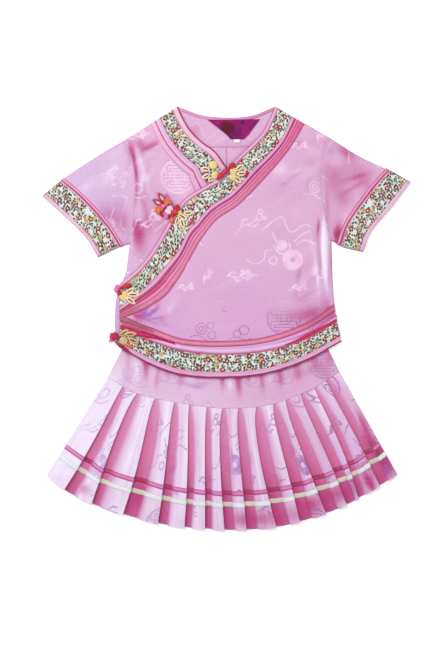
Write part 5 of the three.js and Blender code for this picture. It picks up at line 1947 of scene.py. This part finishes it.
class Palette:
    """Builds each finish once and puts it on the pieces."""

    def __init__(self) -> None:
        """Makes the shared node groups."""
        self.made: dict[str, bpy.types.Material] = {}
        self.figures = figure_group(Figures())
        self.flowers = print_group()
        self.weave = weave_group()

    def _begin(self, made: Piece, name: str) -> Optional[Graph]:
        """Puts a material on a piece, and gives its empty graph if it is new.

        Args:
            made: the piece.
            name: the material's name.

        Returns:
            Its graph to fill in, or nothing if that is done already.
        """
        new = name not in self.made
        if new:
            self.made[name] = bpy.data.materials.new(name)
            self.made[name].use_nodes = True
            self.made[name].node_tree.nodes.clear()
        made.data.materials.append(self.made[name])
        return Graph(self.made[name].node_tree) if new else None

    def _threads(self, graph: Graph, cloth: Socket, threads: float) -> Sequence[Socket]:
        """Height of a weave, and its slow unevenness."""
        return graph.group(self.weave, Cloth=cloth, Threads=threads)

    def _woven(self, graph: Graph, ground: object, pale: object, strength: float) -> tuple[Socket, Socket, Socket]:
        """Ground with the woven figures, and the piece's painted shade and highlights on it.

        Args:
            graph: the material's graph.
            ground: the cloth's colour.
            pale: the figures' colour.
            strength: how strongly they show.

        Returns:
            The colour, the figures' mask and the height of the weave.
        """
        cloth = graph.cloth()
        figure = graph.group(self.figures, Cloth=cloth)["Figure"]
        weave = self._threads(graph, cloth, BROCADE_THREADS)
        depth = graph.value("tint")
        # painted shade and painted highlight from the stored values, then painted violet shade
        colour = graph.coat(ground, light(176, 34, 112), depth, 0.0, 1.15)
        colour = graph.coat(colour, light(136, 0, 62), depth, 1.0, 2.2)
        colour = graph.coat(colour, light(232, 222, 238), depth, 0.0, -0.9)
        colour = graph.coat(colour, light(148, 88, 184), graph.value("cool"), 0.0, 1.0, 0.0, 0.8)
        thread = graph.noise(graph.vector("MULTIPLY", cloth, (1.0, 0.5, 1.0)), 520.0)
        colour = graph.coat(colour, light(190, 118, 176), thread, 0.42, 0.75, 0.0, 0.12)
        colour = graph.coat(colour, light(236, 214, 236), thread, 0.55, 0.28, 0.0, 0.12)
        blot = graph.spans(weave["Patches"], 0.42, 0.68)
        colour = graph.mix(graph.times(blot, 0.16), colour, light(196, 134, 186))
        # the figures fade where the painted shade is deep
        shown = graph.times(figure, graph.spans(depth, 0.5, 1.3, strength, strength * 0.15))
        return graph.mix(shown, colour, pale), figure, weave["Height"]

    def brocade(self, made: Piece, part: str) -> None:
        """Lilac-pink brocade of one part of the jacket, with painted shade and highlights for its folds.

        Args:
            made: the piece.
            part: its part of the jacket.
        """
        tint(made, part)
        names = {"back": ("jacket_brocade_inside", 0.3), "sleeve": ("jacket_brocade_sleeves", 0.4)}
        name, strength = names.get(part, ("jacket_brocade", 0.7))
        graph = self._begin(made, name)
        if graph:
            across, up, _ = graph.parts(graph.place())
            # painted shade: the ground deeper toward the hem and more lavender toward the wearer's right, where the
            # light falls; the figures painted as a pale sheen high on the chest and dark lower down
            ground = graph.coat(light(208, 164, 198), light(203, 154, 197), up, 0.16, -0.06)
            ground = graph.coat(ground, light(198, 166, 203), across, -0.1, -0.2)
            woven = graph.coat(light(236, 208, 229), light(150, 78, 142), up, 0.05, -0.01)
            colour, figure, weave = self._woven(graph, ground, woven, strength)
            Satin(bump=0.00016, strength=0.7).cover(graph, colour, weave, graph.spans(figure, 0, 1, 0.45, 0.33))

    def skirt(self, made: Piece, pleated: bool) -> None:
        """Paler brocade of the skirt, with painted deep-pink shade down in the pleats.

        Args:
            made: the piece.
            pleated: whether it is pleated cloth, rather than the yoke or the waistband.
        """
        part = "pleats" if pleated else "yoke"
        tint(made, part)
        graph = self._begin(made, f"skirt_brocade_{part}")
        if graph is None:
            return
        across, up, _ = graph.parts(graph.place())
        # painted shade: darker, pinker ground and figures toward the wearer's left, away from the light; paler figures
        # at the lit far edge on the wearer's right
        right = graph.spans(across, -0.16, 0.18)
        if pleated:
            ground = graph.mix(right, light(224, 210, 231), light(214, 182, 215))
            # random streaks that stand for the painted shade and painted highlight of fine gathers
            run = graph.noise(graph.vector("MULTIPLY", graph.cloth(), (1, 0.05, 1)), 130.0)
            ground = graph.coat(ground, light(206, 150, 200), run, 0.5, 0.75, 0.0, 0.5)
            ground = graph.coat(ground, light(240, 232, 246), run, 0.5, 0.3, 0.0, 0.5)
        else:
            ground = graph.mix(right, light(214, 182, 211), light(206, 160, 196))
        woven = graph.mix(right, light(166, 124, 190), light(150, 78, 156))
        woven = graph.coat(woven, light(214, 200, 226), across, -0.17, -0.23)
        colour, figure, weave = self._woven(graph, ground, woven, 0.8 if pleated else 0.45)
        if pleated:
            # painted shade: soft over the panel beside each recess, deep pink down in the recess and deeper toward the
            # hem
            deep = graph.value("deep")
            down = graph.coat(light(194, 80, 134), light(176, 40, 110), up, -0.2, -0.27)
            bare = graph.spans(graph.value("tint"), 0.1, 0.8, 1.0, 0.1)
            soft = graph.times(graph.spans(deep, 0.06, 0.6, 0.0, 0.7), bare)
            colour = graph.coat(graph.mix(soft, colour, light(202, 136, 186)), down, deep, 0.4, 1.0)
        Satin(bump=0.00016, strength=0.7).cover(graph, colour, weave, graph.spans(figure, 0, 1, 0.46, 0.36))

    def satin(self, made: Piece, tone: Tone) -> None:
        """Smooth satin of a binding, with painted shade where its surface turns away from facing up.

        Args:
            made: the piece.
            tone: its colours.
        """
        graph = self._begin(made, f"satin_{tone.name.lower()}")
        if graph:
            weave = self._threads(graph, graph.cloth(), SATIN_THREADS)
            flat = graph.parts(graph.node("NewGeometry").outputs["Normal"])[2]
            # painted shade on the turned sides, with random patches of the same colour
            side = graph.spans(flat, 0.25, 0.85, 1.0, 0.0)
            patchy = graph.times(graph.spans(weave["Patches"], 0.4, 0.65), 0.35)
            colour = graph.mix(graph.plus(graph.times(side, 0.8), patchy, clamp=True), *tone.value)
            Satin(0.38).cover(graph, colour, weave["Height"])

    def tape(self, made: Piece, look: TapeLook) -> None:
        """Satin tape with a dark line along each edge, partly painted shade, and a pale one beside it, partly painted
        highlight.

        Args:
            made: the piece.
            look: its colours and lines.
        """
        graph = self._begin(made, f"tape_{look.name.lower()}")
        if graph is None:
            return
        ground, lines = look.value
        cloth = graph.cloth()
        weave = self._threads(graph, cloth, SATIN_THREADS)
        wander = graph.times(graph.minus(graph.noise(cloth, 60.0, 1.0), 0.5), 1.4)
        across = graph.plus(graph.times(graph.parts(cloth)[1], 1000.0), wander)
        patchy = graph.times(graph.spans(weave["Patches"], 0.48, 0.66), 0.4)
        colour = graph.mix(patchy, ground, tuple(v * share for v, share in zip(ground, (0.8, 0.5, 0.72))))
        for place, half, shown in lines:
            away = graph.math("ABSOLUTE", graph.minus(across, place))
            colour = graph.coat(colour, shown, away, half * 0.6, half * 1.3, 0.92, 0)
        side, up, _ = graph.parts(graph.place())
        if look is TapeLook.LAPEL:
            colour = graph.coat(colour, light(194, 36, 116), up, 0.14, 0.27, 0.0, 0.45)
        # painted shade of a ruck along the pale strip, toward the wearer's left
        if look is TapeLook.HEM_PALE:
            ruck_shade = graph.times(graph.spans(across, 4.6, 5.6), graph.spans(side, 0.06, 0.13, 0.0, 0.8))
            colour = graph.mix(ruck_shade, colour, light(190, 40, 130))
        if look is TapeLook.EDGING_OUTER:
            colour = graph.coat(colour, light(180, 30, 92), up, 0.1, 0.04, 0.0, 0.8)
        # painted shade on the tapes near both hem corners
        if look in (TapeLook.LAPEL, TapeLook.HEM):
            colour = graph.coat(colour, light(146, 36, 74), graph.far_from(-0.146, -0.01), 0.012, 0.055, 0.62, 0.0)
            colour = graph.coat(colour, light(160, 36, 84), graph.far_from(0.15, -0.004), 0.012, 0.06, 0.5, 0.0)
        Satin(0.36).cover(graph, colour, weave["Height"])

    def print(self, made: Piece, shift: float) -> None:
        """Cotton printed with small flowers, on the piece's own stretch of the print."""
        graph = self._begin(made, f"floral_cotton_{round(shift * 10)}")
        if graph:
            printed = graph.group(self.flowers, Cloth=graph.vector("ADD", graph.cloth(), (shift, shift * 1.7, 0)))
            Satin(0.72, 0.15, 0.5, 0.25, 0.0, 0.00012).cover(graph, printed["Colour"], printed["Height"])

    def ribbon(self, made: Piece, node: str) -> None:
        """Plain ribbon sewn over the pleats, with painted shade where it dips between them and along its edges.

        Args:
            made: the piece.
            node: the node that it stands for.
        """
        graph = self._begin(made, node.replace("skirt_", "") + "_satin")
        if graph is None:
            return
        face, dip_shade, faded, rim, strength = (
            (light(208, 122, 180), light(150, 22, 74), light(186, 84, 140), light(160, 20, 88), 0.95)
            if node.endswith("pink") else
            (light(216, 220, 226), light(196, 186, 172), light(206, 214, 190), light(176, 186, 160), 0.3))
        weave = self._threads(graph, graph.cloth(), RIBBON_THREADS)
        # painted shade where the ribbon dips into a recess, random faded patches, then painted shade along its edges
        colour = graph.coat(face, dip_shade, graph.value("deep"), 0.15, 0.95)
        colour = graph.mix(graph.times(graph.spans(weave["Patches"], 0.45, 0.6), 0.3), colour, faded)
        colour = graph.mix(graph.times(graph.value("edge"), strength), colour, rim)
        Satin(0.4, bump=0.00012, strength=0.7).cover(graph, colour, weave["Height"])

    def label(self, made: Piece) -> None:
        """Bare woven label, deep magenta with a darker middle."""
        graph = self._begin(made, "label_weave")
        if graph is None:
            return
        place = graph.place()
        weave = self._threads(graph, place, LABEL_THREADS)
        colour = graph.coat(light(142, 6, 104), light(104, 0, 78), weave["Patches"], 0.4, 0.6)
        for x, y, reach, shade in (
                (0.0, 0.287, 0.013, light(88, 0, 22)), (0.024, 0.294, 0.006, light(70, 0, 50)),
                (0.035, 0.286, 0.004, light(84, 0, 62)), (-0.014, 0.294, 0.003, light(172, 60, 140))):
            uneven = graph.plus(graph.far_from(x, y), graph.times(graph.noise(place, 150.0), 0.012))
            colour = graph.coat(colour, shade, uneven, reach + 0.001, reach + 0.005, 0.92, 0.0)
        Satin(0.6, 0.0, 0.5, 0.2, 0.0, 0.0002, 0.8).cover(graph, colour, weave["Height"])

    def tab(self, made: Piece) -> None:
        """Bare white tab."""
        graph = self._begin(made, "tab_weave")
        if graph:
            weave = self._threads(graph, graph.place(), TAB_THREADS)
            colour = graph.mix(weave["Patches"], light(246, 240, 244), light(230, 214, 228))
            Satin(0.6, bump=0.0002, strength=0.8).cover(graph, colour, weave["Height"])

    def cord(self, made: Piece, silk: "Silk") -> None:
        """Rolled satin of the frog fastenings, with painted shade where it turns away from facing up.

        Args:
            made: the piece.
            silk: its colours.
        """
        graph = self._begin(made, f"frog_{silk.name.lower()}")
        if graph:
            twist = graph.noise(graph.place(), 900.0)
            flat = graph.parts(graph.node("NewGeometry").outputs["Normal"])[2]
            # painted shade on the roll's turned sides
            side_shade = graph.spans(flat, 0.05, 0.8, 1.0, 0.0)
            uneven = graph.times(graph.spans(twist, 0.45, 0.6), 0.35)
            colour = graph.mix(graph.plus(side_shade, uneven, clamp=True), *silk.value)
            Satin(0.34, 0.3, bump=0.0003, strength=0.5).cover(graph, colour, twist)


# ---------------------------------------------------------------- frog fastenings


def deselect() -> None:
    """Clears the selection."""
    if bpy.context.object and bpy.context.object.mode != "OBJECT":
        bpy.ops.object.mode_set(mode="OBJECT")
    bpy.ops.object.select_all(action="DESELECT")


def settle(made: Piece) -> None:
    """Puts an object's place, turn and size in its mesh."""
    deselect()
    made.select_set(True)
    bpy.context.view_layer.objects.active = made
    bpy.ops.object.transform_apply(location=True, rotation=True, scale=True)


def join(pieces: Sequence[Piece], name: str) -> Piece:
    """Joins pieces in one smooth object.

    Args:
        pieces: the meshes.
        name: the object's name.

    Returns:
        The object.
    """
    deselect()
    for piece in pieces:
        piece.select_set(True)
    bpy.context.view_layer.objects.active = pieces[0]
    if len(pieces) > 1:
        bpy.ops.object.join()
    made = bpy.context.view_layer.objects.active
    made.name = made.data.name = name
    bpy.ops.object.shade_smooth()
    return made


class Silk(Enum):
    """Colours of the frogs' rolled satin: its face, and the painted shade of its turned sides, also used for random
    patches.
    """

    GOLD = (light(226, 204, 132), light(170, 110, 60))
    STRAW = (light(206, 174, 118), light(140, 76, 52))
    CREAM = (light(234, 218, 182), light(188, 120, 92))
    PEARL = (light(238, 206, 220), light(196, 60, 140))
    SLOT = (light(104, 16, 36), light(70, 6, 24))
    CRIMSON = (light(196, 14, 74), light(120, 2, 48))
    SCARLET = (light(200, 30, 40), light(130, 6, 34))
    ORANGE = (light(224, 112, 66), light(180, 50, 40))
    PINK = (light(226, 110, 168), light(170, 18, 90))
    WINE = (light(150, 4, 78), light(90, 0, 46))


@dataclass(frozen=True)
class Roll:
    """One piece of a frog: a padded petal, a knot or an open loop of cord."""

    x: float
    y: float
    turn: float
    length: float
    width: float
    silk: Silk
    lift: float = 0.4

    def build(self, base: Height, paint: Callable[[Piece, Silk], None]) -> list[Piece]:
        """Makes it on the cloth that it lies on.

        Args:
            base: height of that cloth.
            paint: puts a silk on a mesh.

        Returns:
            Its meshes.
        """
        foot = float(base(np.array([self.x]), np.array([self.y]))[0]) + 0.5 + self.lift
        made = []
        for silk, mesh in self.meshes():
            mesh.rotation_euler.z = math.radians(self.turn)
            mesh.location = (self.x * MM, self.y * MM, foot * MM)
            settle(mesh)
            paint(mesh, silk)
            made.append(mesh)
        return made

    def ball(self, segments: int, rings: int, x: float = 0.0, z: float = 0.0) -> Piece:
        """Ball of radius one metre with its middle at a place in millimetres."""
        deselect()
        bpy.ops.mesh.primitive_uv_sphere_add(
            segments=segments, ring_count=rings, radius=1.0, location=(x * MM, 0, z * MM))
        return bpy.context.object

    def form(self, made: Piece, place: Callable[[float, float, float], Sequence[float]]) -> Piece:
        """Moves each vertex of a mesh to the place in millimetres that a function gives."""
        for vertex in made.data.vertices:
            vertex.co = [v * MM for v in place(*vertex.co)]
        return made


@dataclass(frozen=True)
class Petal(Roll):
    """A padded petal, pointed at its far end, with a dark slot down its middle unless it is round."""

    slot: float = 0.3

    def meshes(self) -> Iterator[tuple[Silk, Piece]]:
        """The petal, then its slot."""
        yield self.silk, self.form(self.ball(24, 14), self.padded)
        if self.slot:
            slot = self.ball(12, 8, -0.04 * self.length, 2.0)
            slot.scale = (self.length * 0.31 * MM, self.width * self.slot / 2 * MM, 0.55 * MM)
            settle(slot)
            yield Silk.SLOT, slot

    def padded(self, x: float, y: float, z: float) -> Sequence[float]:
        """Where a place on a ball goes on the petal."""
        rib = 1 - (0.09 if self.slot else 0.03) * math.sin(9 * math.atan2(y, x)) * (1 - abs(z))
        tip = 1 - 0.45 * max(x, 0.0) ** 2 if self.slot else 1.0
        return x * rib * self.length / 2, y * rib * tip * self.width / 2, (z + 0.5) * 1.5


@dataclass(frozen=True)
class Knot(Roll):
    """A knot or bud of rolled cord with grooves between its strands."""

    twist: float = 3.0

    def meshes(self) -> Iterator[tuple[Silk, Piece]]:
        """The knot."""
        yield self.silk, self.form(self.ball(32, 20), self.knotted)

    def knotted(self, x: float, y: float, z: float) -> Sequence[float]:
        """Where a place on a ball goes on the knot."""
        around, half = math.atan2(z, y), self.width / 2
        groove = 0.2 * abs(math.sin(self.twist * around / 2 + 2.6 * x)) + 0.06 * math.sin(5 * x + 3 * around)
        narrow = (1 - 0.22 * math.cos(2 * math.pi * x) * (1 - x * x)) * (1 - groove)
        return x * self.length / 2, y * narrow * half, (z * narrow * 0.7 + 0.6) * half


@dataclass(frozen=True)
class Loop(Roll):
    """An open loop of cord that lies flat, pinched at its root."""

    thick: float = 2.0

    def meshes(self) -> Iterator[tuple[Silk, Piece]]:
        """The loop."""
        deselect()
        bpy.ops.mesh.primitive_torus_add(major_segments=28, minor_segments=8, major_radius=0.5, minor_radius=0.17)
        yield self.silk, self.form(bpy.context.object, self.pinched)

    def pinched(self, x: float, y: float, z: float) -> Sequence[float]:
        """Where a place on an even ring goes on the loop."""
        pinch = 0.3 + 0.7 * math.sin(math.pi * min(max(x / 1.34 + 0.5, 0.0), 1.0) ** 0.8) ** 0.7
        return x / 1.34 * self.length, y * self.width / 1.34 * pinch, (z / 0.34 + 0.5) * self.thick


@dataclass
class Frogs:
    """The four frog fastenings down the lapel, each of petals on both sides of a knot."""

    shade: Palette

    def pieces(self) -> dict[str, tuple[Height, tuple[Roll, ...]]]:
        """The rolls of each piece, by its node, and the cloth that they lie on."""
        over, under = LAY.over_top, LAY.under_top
        gold, straw, cream, pearl, pink = Silk.GOLD, Silk.STRAW, Silk.CREAM, Silk.PEARL, Silk.PINK
        crimson, scarlet, orange = Silk.CRIMSON, Silk.SCARLET, Silk.ORANGE
        return {
            "neck_petals_right": (under, (
                Petal(-32, 224, 172, 15, 8, cream), Petal(-31, 213, 205, 14, 8, cream),
                Petal(-24, 208, 235, 10, 7, cream), Petal(-20, 230, 0, 13, 13, gold, 1.0, 0),
                Petal(-17, 215, 0, 12, 12, gold, 1.0, 0))),
            "neck_petals_left": (over, (
                Petal(20, 226, 38, 15, 8, cream), Petal(23, 217, 4, 16, 8, cream), Petal(17, 208, -42, 15, 8, cream),
                Petal(10, 221, 0, 11, 11, gold, 0.9, 0), Petal(9, 212, 0, 11, 11, gold, 0.9, 0),
                Knot(29, 215, 60, 9, 6, crimson, -0.4))),
            "neck_knot": (over, (
                Knot(-5, 217, 44, 27, 9, crimson, 0.9, 2.0), Knot(8, 229, 40, 11, 9, scarlet, 1.0))),
            "chest_petals": (over, (
                Petal(-65, 152, -36, 17, 8, cream), Petal(-57, 158, 2, 15, 8, cream),
                Petal(-66, 142, -72, 17, 8, cream), Petal(-74, 146, -104, 14, 7, cream),
                # the last, a flat crimson petal sunk into the cloth, is partly a patch of painted shade
                Petal(-72, 158, 0, 11, 11, gold, 0.9, 0), Petal(-53, 144, 56, 18, 6, crimson, -1.3, 0))),
            "chest_knot": (over, (
                Knot(-76, 162, 66, 19, 11, scarlet, 1.2), Knot(-81, 155, 60, 11, 7, crimson, 1.6),
                Knot(-86, 162, 64, 15, 12, pearl, 2.0))),
            "chest_loops": (under, (
                Loop(-103, 174, 152, 18, 9, crimson, 3.0), Loop(-97, 181, 124, 19, 9, crimson, 3.0),
                Loop(-90, 182, 88, 11, 8, pink, 2.6), Petal(-103, 174, 152, 15, 5, pearl, 0, 0),
                Petal(-97, 181, 124, 16, 5, pearl, 0, 0), Knot(-93, 169, 30, 14, 9, pink, 1.2),
                Knot(-91, 155, 120, 13, 8, pink, 0.8), Knot(-96, 156, 30, 8, 6, crimson, 0.4))),
            "chest_bud_top": (under, (Knot(-88, 174, 20, 12, 11, orange, 2.2),)),
            "chest_bud_side": (under, (Knot(-101, 163, 40, 13, 12, orange, 1.8),)),
            "chest_bud_foot": (under, (Knot(-82, 148, 70, 10, 9, orange, 1.6),)),
            "side_petals": (over, (
                Petal(-144, 42, 34, 17, 7.5, cream), Petal(-139, 36, -2, 20, 8, cream),
                Petal(-143, 27, -38, 18, 8, cream), Petal(-154, 34, 0, 13, 15, gold, 0.9, 0))),
            "side_knot": (over, (
                Knot(-164, 45, 70, 13, 9, pink, 1.4, 4.0), Knot(-160, 38, 10, 9, 7, crimson, 1.0))),
            "side_bud": (over, (Knot(-150, 49, 14, 15, 8, scarlet, 0.9),)),
            "hem_petals": (over, (
                Petal(-153, -21, 34, 17, 8, straw), Petal(-143, -23, 4, 18, 8, straw),
                Petal(-139, -33, -24, 17, 8, straw), Petal(-154, -33, 0, 13, 13, straw, 0.9, 0),
                Knot(-146, -40, -30, 12, 6, orange, -0.2))),
            "hem_knot": (over, (
                Knot(-168, -26, 20, 14, 13, crimson, 1.4, 5.0), Knot(-171, -32, 200, 11, 7, pink, 0.6))),
            "hem_roll": (over, (Knot(-155, -43, -36, 25, 7, Silk.WINE, 0.4, 2.0),)),
        }

    def build(self) -> None:
        """Makes them all."""
        for name, (base, rolls) in self.pieces().items():
            made = join([mesh for roll in rolls for mesh in roll.build(base, self.shade.cord)], name)
            slot = "petal_satin" if "petals" in name else "bud_satin" if "bud" in name else "knot_satin"
            ride(made, f"frog_{name}", slot, stands_for=True)


# ---------------------------------------------------------------- the studio


@dataclass
class Studio:
    """Pale floor, soft light from the wearer's right, and the camera overhead."""

    field_height: float = 975.0
    centre: Spot = (-12.75, -9.4)
    lens: float = 85.0
    sensor: float = 36.0

    def floor(self) -> None:
        """The plain pale floor, a little under the set."""
        deselect()
        bpy.ops.mesh.primitive_plane_add(size=6.0, location=(0, 0, -0.0004))
        plane = bpy.context.object
        plane.name = plane.data.name = "studio_floor"
        settle(plane)
        material = bpy.data.materials.new("studio_floor_white")
        material.use_nodes = True
        for name, value in (("Base Color", (0.95, 0.95, 0.95)), ("Roughness", 0.9), ("Specular IOR Level", 0.1),
                            ("Emission Color", (1.0, 1.0, 1.0)), ("Emission Strength", 0.22)):
            Graph(material.node_tree).feed(material.node_tree.nodes["Principled BSDF"].inputs[name], value)
        plane.data.materials.append(material)

    def hang(self, name: str, held: bpy.types.ID, place: Sequence[float]) -> Piece:
        """Puts a light or a camera at a place in metres."""
        made = bpy.data.objects.new(name, held)
        bpy.context.scene.collection.objects.link(made)
        made.location = place
        return made

    def lamp(self, name: str, place: tuple[float, float, float], size: float, power: float, colour: Colour) -> None:
        """Soft square light aimed at the middle of the set.

        Args:
            name: the light's name.
            place: where it hangs, in metres.
            size: its side, in metres.
            power: its watts.
            colour: its colour.
        """
        lamp = bpy.data.lights.new(name, "AREA")
        lamp.shape, lamp.size, lamp.energy, lamp.color = "SQUARE", size, power, colour
        x, y, z = (-v for v in place)
        self.hang(name, lamp, place).rotation_euler = (
            math.atan2(math.hypot(x, y), -z), 0, math.atan2(y, x) - math.pi / 2)

    def camera(self) -> None:
        """Camera straight overhead."""
        camera = bpy.data.cameras.new("overhead_camera")
        camera.lens, camera.sensor_width, camera.sensor_fit = self.lens, self.sensor, "AUTO"
        camera.clip_start, camera.clip_end = 0.05, 20
        place = (self.centre[0] * MM, self.centre[1] * MM, self.field_height * MM * self.lens / self.sensor)
        bpy.context.scene.camera = self.hang("overhead_camera", camera, place)

    def build(self) -> None:
        """Sets up the scene."""
        scene = bpy.context.scene
        scene.view_settings.view_transform = "Standard"
        world = bpy.data.worlds.new("studio_air")
        scene.world = world
        world.use_nodes = True
        air = world.node_tree.nodes.get("Background") or world.node_tree.nodes.new("ShaderNodeBackground")
        air.inputs["Color"].default_value = (1.0, 1.0, 1.0, 1)
        air.inputs["Strength"].default_value = 0.5
        self.floor()
        self.lamp("window_light", (-1.0, 0.9, 1.8), 1.3, 34.0, (1.0, 0.99, 1.0))
        self.lamp("fill_light", (1.3, -0.6, 2.2), 2.0, 18.0, (1.0, 0.97, 0.98))
        self.camera()


def main() -> None:
    """Builds the set, its studio and its camera."""
    logging.basicConfig(level=logging.INFO, format="%(name)s: %(message)s")
    deselect()
    Studio().build()
    shade = Palette()
    Skirt(shade).build()
    JacketBody(shade).build()
    Sleeve(SLEEVE_LEFT, shade, Grain(61, 33)).build()
    Sleeve(SLEEVE_RIGHT, shade, Grain(105, 60)).build()
    for trims in (LapelTrims, HemTrims, NeckTrims):
        trims(shade).build()
    Frogs(shade).build()


if __name__ == "__main__":
    main()
